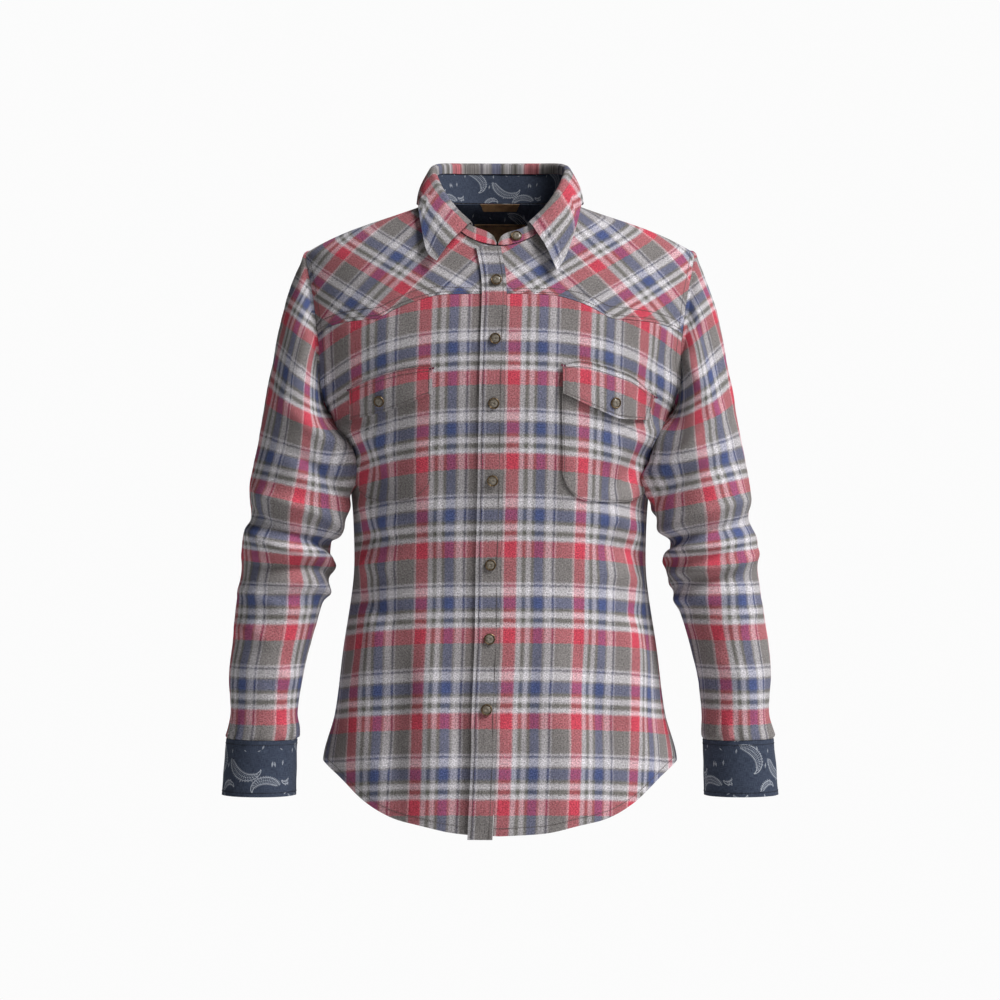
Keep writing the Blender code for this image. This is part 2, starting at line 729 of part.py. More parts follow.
def make_stand():
    steps = 2 * STAND_HALF

    def stand(i, j):
        angle, side = stand_angle(i)
        return stand_pair(angle, side, j / STAND_ROWS, 0.0, CLOTH)

    def facing(i, j):
        angle, side = stand_angle(i)
        return stand_pair(angle, side, j / STAND_ROWS, -CLOTH - SEAM, LINING)

    wall_object("collar_stand", "flannel", steps, STAND_ROWS, stand)
    wall_object("stand_facing", "chambray", steps, STAND_ROWS, facing)


def clear_of_body(point, gap):
    """Moved straight away from the body where it would lie less than gap above it."""
    face = -1 if point.y < 0 else 1
    if point.z > NECK_SIDE:
        return point
    near = body_point(max(min(point.x, body_width(point.z)), -body_width(point.z)), point.z, face)
    normal = body_normal(near, face)
    short = gap - (point - near).dot(normal)
    return point + normal * max(short, 0.0)


def fall_points(angle, side):
    """Face of the collar's cloth from its seam, over the fold and down to its edge."""
    fold = fold_point(angle, side)
    away = fold_out(angle, side)
    rise = along(FOLD, angle, "rise")
    radius = min(ROLL, rise + 0.0002)
    up = Vector((0, 0, 1))
    seam = stand_top(angle, side) - away * CLOTH + up * SEAM * 1.5
    centre = seam + away * radius
    centre.z = fold.z - radius
    points = [seam]
    if rise > 0.004:
        points.append(seam + up * (centre.z - seam.z) * 0.6)
    else:
        points.append(seam + up * 0.0004)
    for turn in (150, 90, 30):
        points.append(centre + (away * math.cos(math.radians(turn))
                                + up * math.sin(math.radians(turn))) * radius)
    edge = Vector([along(LEAF[side], angle, axis) for axis in "xyz"])
    edge.x *= side
    start = points[-1]
    for step in range(1, FALL_STEPS + 1):
        share = step / FALL_STEPS
        belly = away * 0.0035 * math.sin(math.pi * share)
        points.append(clear_of_body(start.lerp(edge, share) + belly, COLLAR_WALL + LEAF_CLEAR))
    return points


def make_fall():
    steps = 2 * COLLAR_STEPS
    lines = [fall_points(*collar_angle(step)) for step in range(steps + 1)]
    last = len(lines[0]) - 1

    def corner(i, j):
        point = lines[i][j]
        around = lines[min(i + 1, steps)][j] - lines[max(i - 1, 0)][j]
        over = lines[i][min(j + 1, last)] - lines[i][max(j - 1, 0)]
        normal = over.cross(around).normalized()
        return point, point - normal * COLLAR_WALL

    wall_object("collar_fall", "flannel", steps, last, corner)


# Leather

def make_patch(name, size, columns, rows):
    """Flat piece that lies on the lining, inside the back of the neck."""
    depth = CLOTH + SEAM + LINING + PATCH_LIFT

    def corner(i, j):
        x = mix(-size.half_width, size.half_width, i / columns)
        z = mix(size.bottom, size.top, j / rows)
        return cloth_pair(x, z, 1, -depth, size.wall)

    wall_object(name, "leather", columns, rows, corner)


# Snaps

def make_snap(name, base, normal):
    """Turned metal ring and a domed cap inside it, seated on the cloth."""
    ring = [(CAP_RADIUS + SEAM, 0.0), (SNAP_RADIUS, 0.0), (SNAP_RADIUS, SNAP_HEIGHT * 0.45),
            (SNAP_RADIUS * 0.94, SNAP_HEIGHT * 0.8), (CAP_RADIUS + 0.0007, SNAP_HEIGHT),
            (CAP_RADIUS + SEAM, SNAP_HEIGHT * 0.8)]
    cap = [(0.0, 0.0), (CAP_RADIUS, 0.0), (CAP_RADIUS, SNAP_HEIGHT * 0.6),
           (CAP_RADIUS * 0.7, SNAP_HEIGHT * 0.95), (0.0, SNAP_HEIGHT * 1.1)]
    turned(f"{name}_ring", "brass", ring, base, normal, closed=True)
    turned(f"{name}_cap", "pearl", cap, base, normal, closed=False)


def turned(name, finish, profile, base, normal, closed):
    bm = bmesh.new()
    points = [bm.verts.new((radius, 0.0, height)) for radius, height in profile]
    edges = [bm.edges.new(pair) for pair in zip(points, points[1:])]
    if closed:
        edges.append(bm.edges.new((points[-1], points[0])))
    bmesh.ops.spin(bm, geom=points + edges, cent=(0, 0, 0), axis=(0, 0, 1),
                   angle=2 * math.pi, steps=SNAP_SIDES, use_merge=True)
    bmesh.ops.remove_doubles(bm, verts=bm.verts, dist=WELD)
    turn = normal.to_track_quat("Z", "Y").to_matrix()
    bmesh.ops.rotate(bm, verts=bm.verts, cent=(0, 0, 0), matrix=turn)
    bmesh.ops.translate(bm, verts=bm.verts, vec=base + normal * (SEAM + 0.0002))
    finish_object(name, finish, bm)


def make_snaps():
    for number, z in enumerate(FRONT_SNAPS, start=1):
        x = middle(z) + SNAP_OFFSET
        base = on_body(x, z, -1, LIFT + PLACKET_WALL)
        make_snap(f"snap_front_{number}", base, body_normal(base, -1))
    for side, (x, z) in FLAP_SNAP.items():
        out = 2 * LIFT + POCKET_WALL + FLAP_WALL + 0.0010
        base = on_body(side * x, z, -1, out)
        make_snap(f"snap_flap_{side_name(side)}", base, body_normal(base, -1))
    base, normal = stand_seat(NECK_SNAP_ANGLE, 1)
    make_snap("snap_neck", base, normal)
    whole = 360 // CUFF_STEP
    for side in (-1, 1):
        base, under = cuff_pair(side, whole + 1, 0.5)
        make_snap(f"snap_cuff_{side_name(side)}", base, (base - under).normalized())


def main():
    for old in list(bpy.data.objects):
        bpy.data.objects.remove(old, do_unlink=True)
    for side in (-1, 1):
        make_front(side)
        make_front_yoke(side)
        make_pocket(side)
        make_flap(side)
        make_sleeve(side)
        make_cuff(side)
    make_back()
    make_back_yoke()
    make_placket()
    make_stand()
    make_fall()
    make_patch("hanger_loop", LOOP, 6, 1)
    make_patch("neck_label", LABEL, 6, 2)
    make_snaps()


main()
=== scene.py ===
import math
from bisect import bisect_right

import bmesh
import bpy
from mathutils import Vector, Matrix, noise


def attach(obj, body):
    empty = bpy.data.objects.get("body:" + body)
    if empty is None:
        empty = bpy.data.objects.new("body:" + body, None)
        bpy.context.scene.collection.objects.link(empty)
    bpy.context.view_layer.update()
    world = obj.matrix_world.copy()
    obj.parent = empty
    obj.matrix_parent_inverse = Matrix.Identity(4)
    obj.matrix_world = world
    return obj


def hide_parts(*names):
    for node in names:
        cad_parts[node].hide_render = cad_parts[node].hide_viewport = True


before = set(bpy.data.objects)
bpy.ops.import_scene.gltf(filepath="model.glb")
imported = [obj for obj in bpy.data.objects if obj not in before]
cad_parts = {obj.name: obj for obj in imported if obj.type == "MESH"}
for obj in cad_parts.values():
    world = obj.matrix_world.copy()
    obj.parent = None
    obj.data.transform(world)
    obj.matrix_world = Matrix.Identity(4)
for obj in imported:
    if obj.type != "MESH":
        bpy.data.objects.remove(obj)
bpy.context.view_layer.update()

clothUv = "cloth"
weld = 0.00001
seam = 0.0003       # gap between neighbouring pieces
lift = 0.0011       # gap under a piece that lies on a rounded panel
wall = {"cloth": 0.0015, "lining": 0.0011, "cuff": 0.0022, "collar": 0.0016,
        "placket": 0.0018, "pocket": 0.0013, "flap": 0.0015}
liningGap = 0.0011  # between the back yoke and its lining


def table(names, rows):
    keys = names.split()
    return [dict(zip(keys, row)) for row in rows]


def along(rows, key, column):
    # a named column of a table, on a smooth curve through its rows
    keys = [next(iter(row.values())) for row in rows]
    values = [row[column] for row in rows]
    last = len(keys) - 1
    key = min(max(key, keys[0]), keys[last])
    low = min(max(bisect_right(keys, key) - 1, 0), last - 1)

    def slope(place):
        before = max(place - 1, 0)
        after = min(place + 1, last)
        return (values[after] - values[before]) / (keys[after] - keys[before])

    span = keys[low + 1] - keys[low]
    t = (key - keys[low]) / span
    rise = values[low + 1] - values[low]
    start = slope(low) * span
    end = slope(low + 1) * span
    return (values[low] + start * t + (3 * rise - 2 * start - end) * t ** 2
            + (start + end - 2 * rise) * t ** 3)


def mix(a, b, t):
    return a + (b - a) * t


def clamp(value, low=0.0, high=1.0):
    return min(max(value, low), high)


def smooth(low, high, value):
    t = clamp((value - low) / (high - low))
    return t * t * (3 - 2 * t)


def sideName(side):
    return "left" if side > 0 else "right"


# The body: half width and depth to the front and back of a level section

body = table("z halfWidth front back", [
    (-0.790, 0.2150, 0.1200, 0.1160), (-0.661, 0.2122, 0.1180, 0.1140),
    (-0.607, 0.1980, 0.1140, 0.1100), (-0.530, 0.1880, 0.1080, 0.1050),
    (-0.448, 0.1760, 0.1040, 0.0980), (-0.400, 0.1750, 0.1060, 0.0960),
    (-0.340, 0.1790, 0.1130, 0.1000), (-0.305, 0.1870, 0.1180, 0.1040),
    (-0.280, 0.1965, 0.1210, 0.1060), (-0.258, 0.2035, 0.1230, 0.1070),
    (-0.230, 0.2190, 0.1240, 0.1080), (-0.200, 0.2320, 0.1220, 0.1090),
    (-0.150, 0.2430, 0.1180, 0.1090), (-0.100, 0.2425, 0.1040, 0.1040),
    (-0.066, 0.2375, 0.0910, 0.0950), (-0.054, 0.2300, 0.0865, 0.0900),
    (-0.030, 0.1820, 0.0780, 0.0780), (0.000, 0.0954, 0.0675, 0.0620),
    (0.014, 0.0690, 0.0600, 0.0560)])
hemLine = table("share z", [
    (0.00, -0.7420), (0.16, -0.7390), (0.28, -0.7311), (0.40, -0.7233), (0.52, -0.7074),
    (0.65, -0.6850), (0.73, -0.6750), (0.85, -0.6660), (1.00, -0.6610)])
yokeInner = table("share z", [(0.00, -0.1110), (0.45, -0.1125), (0.63, -0.1180),
                              (0.80, -0.1263), (1.00, -0.1397)])
yokeOuter = table("share z", [(0.00, -0.1397), (0.25, -0.1411), (0.50, -0.1432),
                              (0.78, -0.1485), (1.00, -0.1550)])
yokePoint = {1: 0.51, -1: 0.57}      # where the front point lies, by side
backYoke = {"centre": -0.175, "side": -0.155}
arm = {"height": -0.155, "rise": 0.103, "reach": math.radians(27.0), "steps": 16}
neck = {"width": 0.074, "side": 0.008, "drop": 0.062, "backRise": 0.0025}
leafEnd = 28.0                       # degrees from the centre front to a collar leaf's end
neckStops = [14.0, leafEnd, 48.0, 69.0, 90.0, 108.0, 126.0, 144.0, 162.0, 180.0]
frontColumns = 12
backColumns = 20
sideRows = 11
neckColumns = 5
middleLine = table("z x", [
    (-0.750, -0.0226), (-0.650, -0.0182), (-0.596, -0.0174), (-0.514, -0.0140),
    (-0.427, -0.0128), (-0.329, -0.0105), (-0.240, -0.0091), (-0.165, -0.0075),
    (-0.096, -0.0062), (-0.054, -0.0130)])
placket = {"left": 0.0152, "right": 0.0135, "top": -0.0555, "bottom": -0.7460, "underlap": 0.0120}


def bodyWidth(z):
    return along(body, z, "halfWidth")


def bodyDepth(z, face):
    return along(body, z, "front" if face < 0 else "back")


def bodyPoint(x, z, face):
    share = min(abs(x) / bodyWidth(z), 1.0)
    return Vector((x, face * bodyDepth(z, face) * math.sqrt(1.0 - share ** 2), z))


def bodyNormal(point, face):
    step = 0.001
    z = point.z
    width = bodyWidth(z)
    depth = bodyDepth(z, face)
    widthSlope = (bodyWidth(z + step) - bodyWidth(z - step)) / (2 * step)
    depthSlope = (bodyDepth(z + step, face) - bodyDepth(z - step, face)) / (2 * step)
    return Vector((point.x / width ** 2, point.y / depth ** 2,
                   -point.x ** 2 * widthSlope / width ** 3
                   - point.y ** 2 * depthSlope / depth ** 3)).normalized()


def bodyArc(x, z, face):
    # length of the level section from the middle to x
    width = bodyWidth(z)
    depth = bodyDepth(z, face)
    end = math.asin(clamp(abs(x) / width, 0.0, 0.9999))
    steps = 10
    total = 0.0
    for step in range(steps):
        t = end * (step + 0.5) / steps
        total += math.hypot(width * math.cos(t), depth * math.sin(t)) * end / steps
    return math.copysign(total, x)


# Creases: soft ridges (height above 0) and troughs (below), each from one end to the other

crease = "x1 z1 x2 z2 width height"
creaseMade = {
    "body": {"gain": 1.35, "past": 0.30, "full": 0.25, "fade": 0.55, "wander": 0.25, "turns": 7.0},
    "sleeve": {"gain": 1.30, "past": 0.35, "full": 0.20, "fade": 0.50, "wander": 0.30, "turns": 6.0}}
grain = {"body": 0.0012, "sleeve": 0.0014, "fine": 0.0004}     # small unevenness all over
frontCreases = table(crease, [
    (0.196, -0.262, 0.120, -0.300, 0.016, 0.0050), (0.200, -0.285, 0.128, -0.338, 0.014, -0.0040),
    (0.188, -0.330, 0.120, -0.372, 0.018, 0.0036), (0.176, -0.388, 0.118, -0.372, 0.014, 0.0034),
    (0.178, -0.418, 0.112, -0.404, 0.012, -0.0034), (0.176, -0.446, 0.105, -0.440, 0.014, 0.0034),
    (0.178, -0.478, 0.118, -0.500, 0.016, -0.0026), (0.150, -0.500, 0.168, -0.655, 0.020, 0.0046),
    (0.110, -0.540, 0.118, -0.700, 0.020, -0.0040), (0.062, -0.480, 0.070, -0.720, 0.022, 0.0032),
    (0.030, -0.560, 0.026, -0.735, 0.014, -0.0022), (0.090, -0.270, 0.060, -0.420, 0.026, 0.0028),
    (0.215, -0.190, 0.178, -0.300, 0.014, 0.0042), (0.190, -0.175, 0.150, -0.260, 0.014, -0.0028),
    (-0.198, -0.258, -0.118, -0.292, 0.015, 0.0052), (-0.196, -0.284, -0.130, -0.330, 0.014, -0.0040),
    (-0.184, -0.352, -0.112, -0.384, 0.018, 0.0040), (-0.178, -0.400, -0.108, -0.392, 0.012, -0.0030),
    (-0.176, -0.432, -0.118, -0.426, 0.014, 0.0036), (-0.178, -0.466, -0.124, -0.486, 0.014, -0.0030),
    (-0.150, -0.490, -0.172, -0.650, 0.022, 0.0042), (-0.118, -0.560, -0.126, -0.705, 0.018, -0.0040),
    (-0.078, -0.500, -0.086, -0.725, 0.022, 0.0036), (-0.046, -0.585, -0.050, -0.736, 0.012, -0.0024),
    (-0.100, -0.285, -0.064, -0.430, 0.026, 0.0026), (-0.218, -0.190, -0.180, -0.298, 0.014, 0.0040)])
backCreases = table(crease, [
    (0.180, -0.262, 0.080, -0.225, 0.020, 0.0050), (0.185, -0.300, 0.070, -0.290, 0.020, -0.0036),
    (0.172, -0.392, 0.050, -0.372, 0.014, 0.0050), (0.174, -0.420, 0.070, -0.410, 0.012, -0.0042),
    (0.172, -0.450, 0.040, -0.452, 0.015, 0.0052), (0.176, -0.486, 0.080, -0.500, 0.014, -0.0036),
    (0.120, -0.520, 0.136, -0.690, 0.024, 0.0052), (0.060, -0.500, 0.064, -0.720, 0.022, -0.0046),
    (0.012, -0.480, 0.008, -0.730, 0.020, 0.0050), (-0.060, -0.540, -0.066, -0.720, 0.022, -0.0044),
    (-0.118, -0.500, -0.138, -0.690, 0.024, 0.0050), (-0.176, -0.484, -0.070, -0.506, 0.014, -0.0034),
    (-0.172, -0.446, -0.034, -0.436, 0.016, 0.0050), (-0.174, -0.414, -0.066, -0.404, 0.012, -0.0042),
    (-0.172, -0.384, -0.056, -0.366, 0.014, 0.0048), (-0.186, -0.296, -0.074, -0.286, 0.020, -0.0034),
    (-0.182, -0.258, -0.078, -0.218, 0.020, 0.0050), (0.000, -0.190, 0.004, -0.330, 0.026, 0.0030)])


def ridge(made, row, x, z, dx, dz, phase):
    # height of one crease at (x, z) from its start: it wanders a little and fades past both ends
    length = dx * dx + dz * dz
    t = (x * dx + z * dz) / length
    past = made["past"]
    if not -past < t < 1.0 + past:
        return 0.0
    wander = made["wander"] * row["width"] * math.sin(made["turns"] * t + phase)
    away = ((x * dz - z * dx) / math.sqrt(length) + wander) / row["width"]
    if abs(away) > 2.4:
        return 0.0
    taper = smooth(-past, made["full"], t) * (1.0 - smooth(made["fade"], 1.0 + past, t))
    return row["height"] * made["gain"] * taper * math.exp(-away ** 2 * 1.6)


def creaseHeight(creases, x, z):
    return sum(ridge(creaseMade["body"], row, x - row["x1"], z - row["z1"], row["x2"] - row["x1"],
                     row["z2"] - row["z1"], 40.0 * row["x1"]) for row in creases)


def bodyRelief(x, z, face):
    creases = frontCreases if face < 0 else backCreases
    height = creaseHeight(creases, x, z)
    height += grain["body"] * noise.noise(Vector((x * 22, face * 5.0, z * 16)))
    height += grain["fine"] * noise.noise(Vector((x * 90, face * 9.0, z * 70)))
    width = bodyWidth(z)
    height *= 1.0 - smooth(0.90, 1.0, abs(x) / width)
    return height * smooth(-0.02, -0.09, z)


def onBody(x, z, face, out=0.0):
    point = bodyPoint(x, z, face)
    normal = bodyNormal(point, face)
    if abs(point.y) < seam:
        point.y = face * seam / 2
    return point + normal * (out + bodyRelief(x, z, face))


def bodyAxes(x, z, face, out):
    # point and direction of the creased body
    step = 0.003
    place = min(abs(x), bodyWidth(z) - 2 * step)
    x = math.copysign(place, x)
    across = onBody(x + step, z, face, out) - onBody(x - step, z, face, out)
    up = onBody(x, z + step, face, out) - onBody(x, z - step, face, out)
    return onBody(x, z, face, out), across.cross(up).normalized() * -face


# Building a cloth wall from a grid

def clothShell(name, columns, rows, place, thick, outward, tube=False, relief=None):
    # place(i, j) gives a grid corner's point and its place on the flat cloth
    grid = []
    for i in range(columns + 1):
        grid.append([place(i, j) for j in range(rows + 1)])

    def direction(points, i, j):
        if tube:
            after = points[(i + 1) % columns][j]
            before = points[(i - 1) % columns][j]
        else:
            after = points[min(i + 1, columns)][j]
            before = points[max(i - 1, 0)][j]
        up = points[i][min(j + 1, rows)] - points[i][max(j - 1, 0)]
        return (after - before).cross(up).normalized() * outward

    points = [[corner[0] for corner in line] for line in grid]
    if relief:
        points = [[points[i][j] + direction(points, i, j) * relief(i, j)
                   for j in range(rows + 1)] for i in range(columns + 1)]
    bm = bmesh.new()
    bmesh.ops.create_grid(bm, x_segments=columns, y_segments=rows, size=0.5)
    mark = bm.verts.layers.int.new("corner")
    uvLayer = bm.loops.layers.uv.new(clothUv)
    inner = []
    flat = []
    for vertex in bm.verts:
        i = round((vertex.co.x + 0.5) * columns)
        j = round((vertex.co.y + 0.5) * rows)
        vertex.co = points[i][j]
        vertex[mark] = len(inner)
        inner.append(points[i][j] - direction(points, i, j) * thick)
        flat.append(grid[i][j][1])
    for face in bm.faces:
        for loop in face.loops:
            loop[uvLayer].uv = flat[loop.vert[mark]]
    if tube:
        bmesh.ops.remove_doubles(bm, verts=bm.verts, dist=weld)
    copy = bmesh.ops.extrude_face_region(bm, geom=bm.faces[:], use_keep_orig=True)
    for vertex in copy["geom"]:
        if isinstance(vertex, bmesh.types.BMVert):
            vertex.co = inner[vertex[mark]]
    return finishPiece(name, bm)


def finishPiece(name, bm, angle=50):
    bmesh.ops.recalc_face_normals(bm, faces=bm.faces)
    mesh = bpy.data.meshes.new(name)
    bm.to_mesh(mesh)
    bm.free()
    mesh.shade_smooth()
    mesh.set_sharp_from_angle(angle=math.radians(angle))
    piece = bpy.data.objects.new(name, mesh)
    bpy.context.collection.objects.link(piece)
    return piece


def hand(piece, material, node):
    piece.data.materials.clear()
    piece.data.materials.append(material)
    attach(piece, "root")
    if node:
        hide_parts(node)


# Materials

plaid = {"warpRepeat": 0.0860, "weftRepeat": 0.0995, "edge": 0.030, "warpShare": 0.5}
yarn = {"grey": (0.200, 0.185, 0.180), "light": (0.690, 0.665, 0.700), "red": (0.540, 0.062, 0.095),
        "blue": (0.070, 0.095, 0.225), "moss": (0.125, 0.122, 0.105), "navy": (0.030, 0.032, 0.075),
        "pale": (0.540, 0.520, 0.545), "blush": (0.600, 0.430, 0.440)}
warpBands = table("end colour", [
    (0.170, "red"), (0.240, "pale"), (0.296, "moss"), (0.366, "pale"), (0.410, "moss"),
    (0.535, "blue"), (0.563, "grey"), (0.660, "pale"), (0.694, "navy"), (0.710, "pale"),
    (0.970, "grey"), (1.000, "blush")])
weftBands = table("end colour", [
    (0.184, "red"), (0.240, "light"), (0.300, "moss"), (0.370, "light"), (0.414, "moss"),
    (0.540, "blue"), (0.563, "grey"), (0.667, "light"), (0.690, "navy"), (0.713, "light"),
    (1.000, "grey")])


class Nodes:
    # short calls for adding and joining shader nodes
    def __init__(self, name):
        self.material = bpy.data.materials.new(name)
        self.material.use_nodes = True
        self.tree = self.material.node_tree
        self.shader = self.tree.nodes["Principled BSDF"]

    def add(self, kind, **settings):
        node = self.tree.nodes.new("ShaderNode" + kind)
        for key, value in settings.items():
            setattr(node, key, value)
        return node

    def feed(self, socket, value):
        if isinstance(value, bpy.types.NodeSocket):
            self.tree.links.new(value, socket)
        else:
            socket.default_value = value

    def math(self, operation, a, b=0.0, c=0.0, clampIt=False):
        node = self.add("Math", operation=operation, use_clamp=clampIt)
        for socket, value in zip(node.inputs, (a, b, c)):
            self.feed(socket, value)
        return node.outputs[0]

    def times(self, a, b):
        return self.math("MULTIPLY", a, b)

    def plus(self, a, b, clampIt=False):
        return self.math("ADD", a, b, clampIt=clampIt)

    def minus(self, a, b):
        return self.math("SUBTRACT", a, b)

    def timesPlus(self, a, b, c):
        return self.math("MULTIPLY_ADD", a, b, c)

    def vector(self, operation, a, b):
        node = self.add("VectorMath", operation=operation)
        self.feed(node.inputs[0], a)
        self.feed(node.inputs["Scale" if operation == "SCALE" else 1], b)
        return node.outputs["Value" if operation == "DOT_PRODUCT" else "Vector"]

    def stretch(self, a, b):
        return self.vector("MULTIPLY", a, b)

    def noise(self, vector, scale, detail=2.0, roughness=0.5):
        node = self.add("TexNoise")
        self.feed(node.inputs["Vector"], vector)
        node.inputs["Scale"].default_value = scale
        node.inputs["Detail"].default_value = detail
        node.inputs["Roughness"].default_value = roughness
        return node.outputs["Fac"]

    def range(self, value, low, high, toLow=0.0, toHigh=1.0):
        node = self.add("MapRange")
        for socket, item in zip(node.inputs, (value, low, high, toLow, toHigh)):
            self.feed(socket, item)
        return node.outputs[0]

    def blend(self, share, a, b, kind="MIX"):
        node = self.add("Mix", data_type="RGBA", blend_type=kind)
        self.feed(node.inputs["Factor"], share)
        self.feed(node.inputs["A"], a)
        self.feed(node.inputs["B"], b)
        return node.outputs["Result"]

    def bump(self, height, strength, distance, normal=None):
        node = self.add("Bump")
        node.inputs["Strength"].default_value = strength
        node.inputs["Distance"].default_value = distance
        self.feed(node.inputs["Height"], height)
        if normal is not None:
            self.feed(node.inputs["Normal"], normal)
        return node.outputs["Normal"]

    def uv(self):
        return self.add("UVMap", uv_map=clothUv).outputs["UV"]

    def place(self):
        return self.add("TexCoord").outputs["Object"]

    def surface(self, inputs):
        # the shader's sockets by name: a joined colour or normal, or one value all over
        for name, value in inputs.items():
            self.feed(self.shader.inputs[name], value)
        return self.material


def opaque(colour):
    return (*colour, 1.0)


def bandRamp(nodes, value, bands):
    # a colour ramp with a soft step between neighbouring bands
    node = nodes.add("ValToRGB")
    nodes.feed(node.inputs["Fac"], value)
    ramp = node.color_ramp
    half = plaid["edge"] / 2
    stops = [(0.0, yarn[bands[0]["colour"]])]
    for band, following in zip(bands, bands[1:]):
        stops.append((band["end"] - half, yarn[band["colour"]]))
        stops.append((band["end"] + half, yarn[following["colour"]]))
    stops.append((1.0, yarn[bands[-1]["colour"]]))
    while len(ramp.elements) < len(stops):
        ramp.elements.new(0.5)
    for element, (place, colour) in zip(ramp.elements, stops):
        element.position = place
        element.color = opaque(colour)
    return node.outputs["Color"]


nap = {"wobbles": ((14.0, 0.012), (90.0, 0.050)), "twill": 0.0011, "rib": 0.10, "yarnScale": 1500.0,
       "yarnShare": 0.36, "heatherScale": 560.0, "patchScale": 34.0, "streakScale": 420.0,
       "fluffScale": 1300.0, "fluffShare": 0.16, "fluff": (0.48, 0.45, 0.45), "pileScale": 900.0}


def makeFlannel():
    nodes = Nodes("flannel")
    uv = nodes.uv()
    place = nodes.add("SeparateXYZ")
    moved = uv
    for scale, reach in nap["wobbles"]:
        wobble = nodes.add("TexNoise")
        nodes.feed(wobble.inputs["Vector"], uv)
        wobble.inputs["Scale"].default_value = scale
        centred = nodes.vector("SUBTRACT", wobble.outputs["Color"], (0.5, 0.5, 0.5))
        moved = nodes.vector("ADD", moved, nodes.vector("SCALE", centred, reach))
    nodes.feed(place.inputs[0], moved)
    warp = bandRamp(nodes, nodes.math("FRACT", place.outputs["X"]), warpBands)
    weft = bandRamp(nodes, nodes.math("FRACT", place.outputs["Y"]), weftBands)
    size = nodes.stretch(uv, (plaid["warpRepeat"], plaid["weftRepeat"], 1.0))
    metres = nodes.add("SeparateXYZ")
    nodes.feed(metres.inputs[0], size)
    # twill: fine diagonal ribs, with warp or weft on top by turns
    slant = nodes.plus(metres.outputs["X"], metres.outputs["Y"])
    rib = nodes.math("SINE", nodes.times(slant, 2 * math.pi / nap["twill"]))
    thread = nodes.noise(nodes.stretch(size, (1.0, 0.22, 1.0)), nap["yarnScale"], 1.0)
    filling = nodes.noise(nodes.stretch(size, (0.22, 1.0, 1.0)), nap["yarnScale"], 1.0)
    reach = nap["yarnShare"]
    share = nodes.timesPlus(rib, nap["rib"], 1.0 - plaid["warpShare"])
    share = nodes.plus(share, nodes.timesPlus(thread, reach, -reach / 2))
    share = nodes.plus(share, nodes.timesPlus(filling, -reach, reach / 2), clampIt=True)
    colour = nodes.blend(share, warp, weft)
    heather = nodes.noise(size, nap["heatherScale"], 4.0, 0.75)
    patch = nodes.noise(size, nap["patchScale"], 2.0)
    streak = nodes.noise(nodes.stretch(size, (1.0, 0.06, 1.0)), nap["streakScale"], 3.0, 0.7)
    tone = nodes.timesPlus(nodes.range(heather, 0.37, 0.63), 0.95, 0.50)
    tone = nodes.times(tone, nodes.timesPlus(patch, 0.30, 0.84))
    tone = nodes.times(tone, nodes.timesPlus(streak, 0.50, 0.75))
    colour = nodes.blend(1.0, colour, toneColour(nodes, tone), "MULTIPLY")
    fluff = nodes.range(nodes.noise(size, nap["fluffScale"], 2.0), 0.58, 0.74, 0.0, nap["fluffShare"])
    colour = nodes.blend(fluff, colour, opaque(nap["fluff"]))
    pile = nodes.bump(nodes.noise(size, nap["pileScale"], 3.0, 0.7), 0.35, 0.0005)
    weave = nodes.bump(nodes.times(rib, 0.5), 0.30, 0.0002, pile)
    return nodes.surface({"Base Color": colour, "Normal": weave, "Roughness": 0.94,
                          "Specular IOR Level": 0.12, "Sheen Weight": 0.04, "Sheen Roughness": 0.55})


def toneColour(nodes, tone):
    node = nodes.add("CombineColor")
    for socket in node.inputs:
        nodes.feed(socket, tone)
    return node.outputs[0]


paisley = {"tileWidth": 0.118, "tileHeight": 0.074, "line": 0.00066, "sweep": 1.40, "curl": 0.52,
           "fat": 2.9, "thin": 0.0003, "bead": 0.0024, "fringe": 0.0013, "colour": (0.44, 0.47, 0.52)}
# each paisley curls round a centre: where that lies, how it is turned, its size and its hand
paisleys = table("x y turn radius width flip", [
    (0.0770, 0.0480, 246.0, 0.0150, 0.0050, -1.0), (0.0807, 0.0160, 100.0, 0.0120, 0.0042, -1.0),
    (0.0485, 0.0204, 110.0, 0.0075, 0.0026, 1.0), (0.0200, 0.0440, 30.0, 0.0140, 0.0052, 1.0),
    (0.0120, 0.0160, 250.0, 0.0090, 0.0032, -1.0), (0.1100, 0.0330, 300.0, 0.0060, 0.0022, 1.0)])
sprigs = table("x y turn length", [
    (0.0955, 0.0504, 84.0, 0.0080), (0.0985, 0.0500, 100.0, 0.0070), (0.1085, 0.0520, 84.0, 0.0070),
    (0.0843, 0.0705, 70.0, 0.0060), (0.0800, 0.0660, 20.0, 0.0040), (0.0460, 0.0650, 90.0, 0.0060),
    (0.1130, 0.0150, 30.0, 0.0050), (0.0600, 0.0300, 60.0, 0.0040), (0.0400, 0.0480, 80.0, 0.0070),
    (0.0360, 0.0120, 100.0, 0.0060), (0.1060, 0.0680, 140.0, 0.0046), (0.0060, 0.0660, 80.0, 0.0060),
    (0.0640, 0.0660, 150.0, 0.0040), (0.0300, 0.0690, 95.0, 0.0060)])


def turnedPlace(nodes, place, x, y, turn):
    # the place measured from (x, y), along and across a turned direction
    c = math.cos(math.radians(turn))
    s = math.sin(math.radians(turn))
    away = nodes.vector("SUBTRACT", place, (x, y, 0.0))
    return [nodes.vector("DOT_PRODUCT", away, axis) for axis in ((c, s, 0.0), (-s, c, 0.0))]


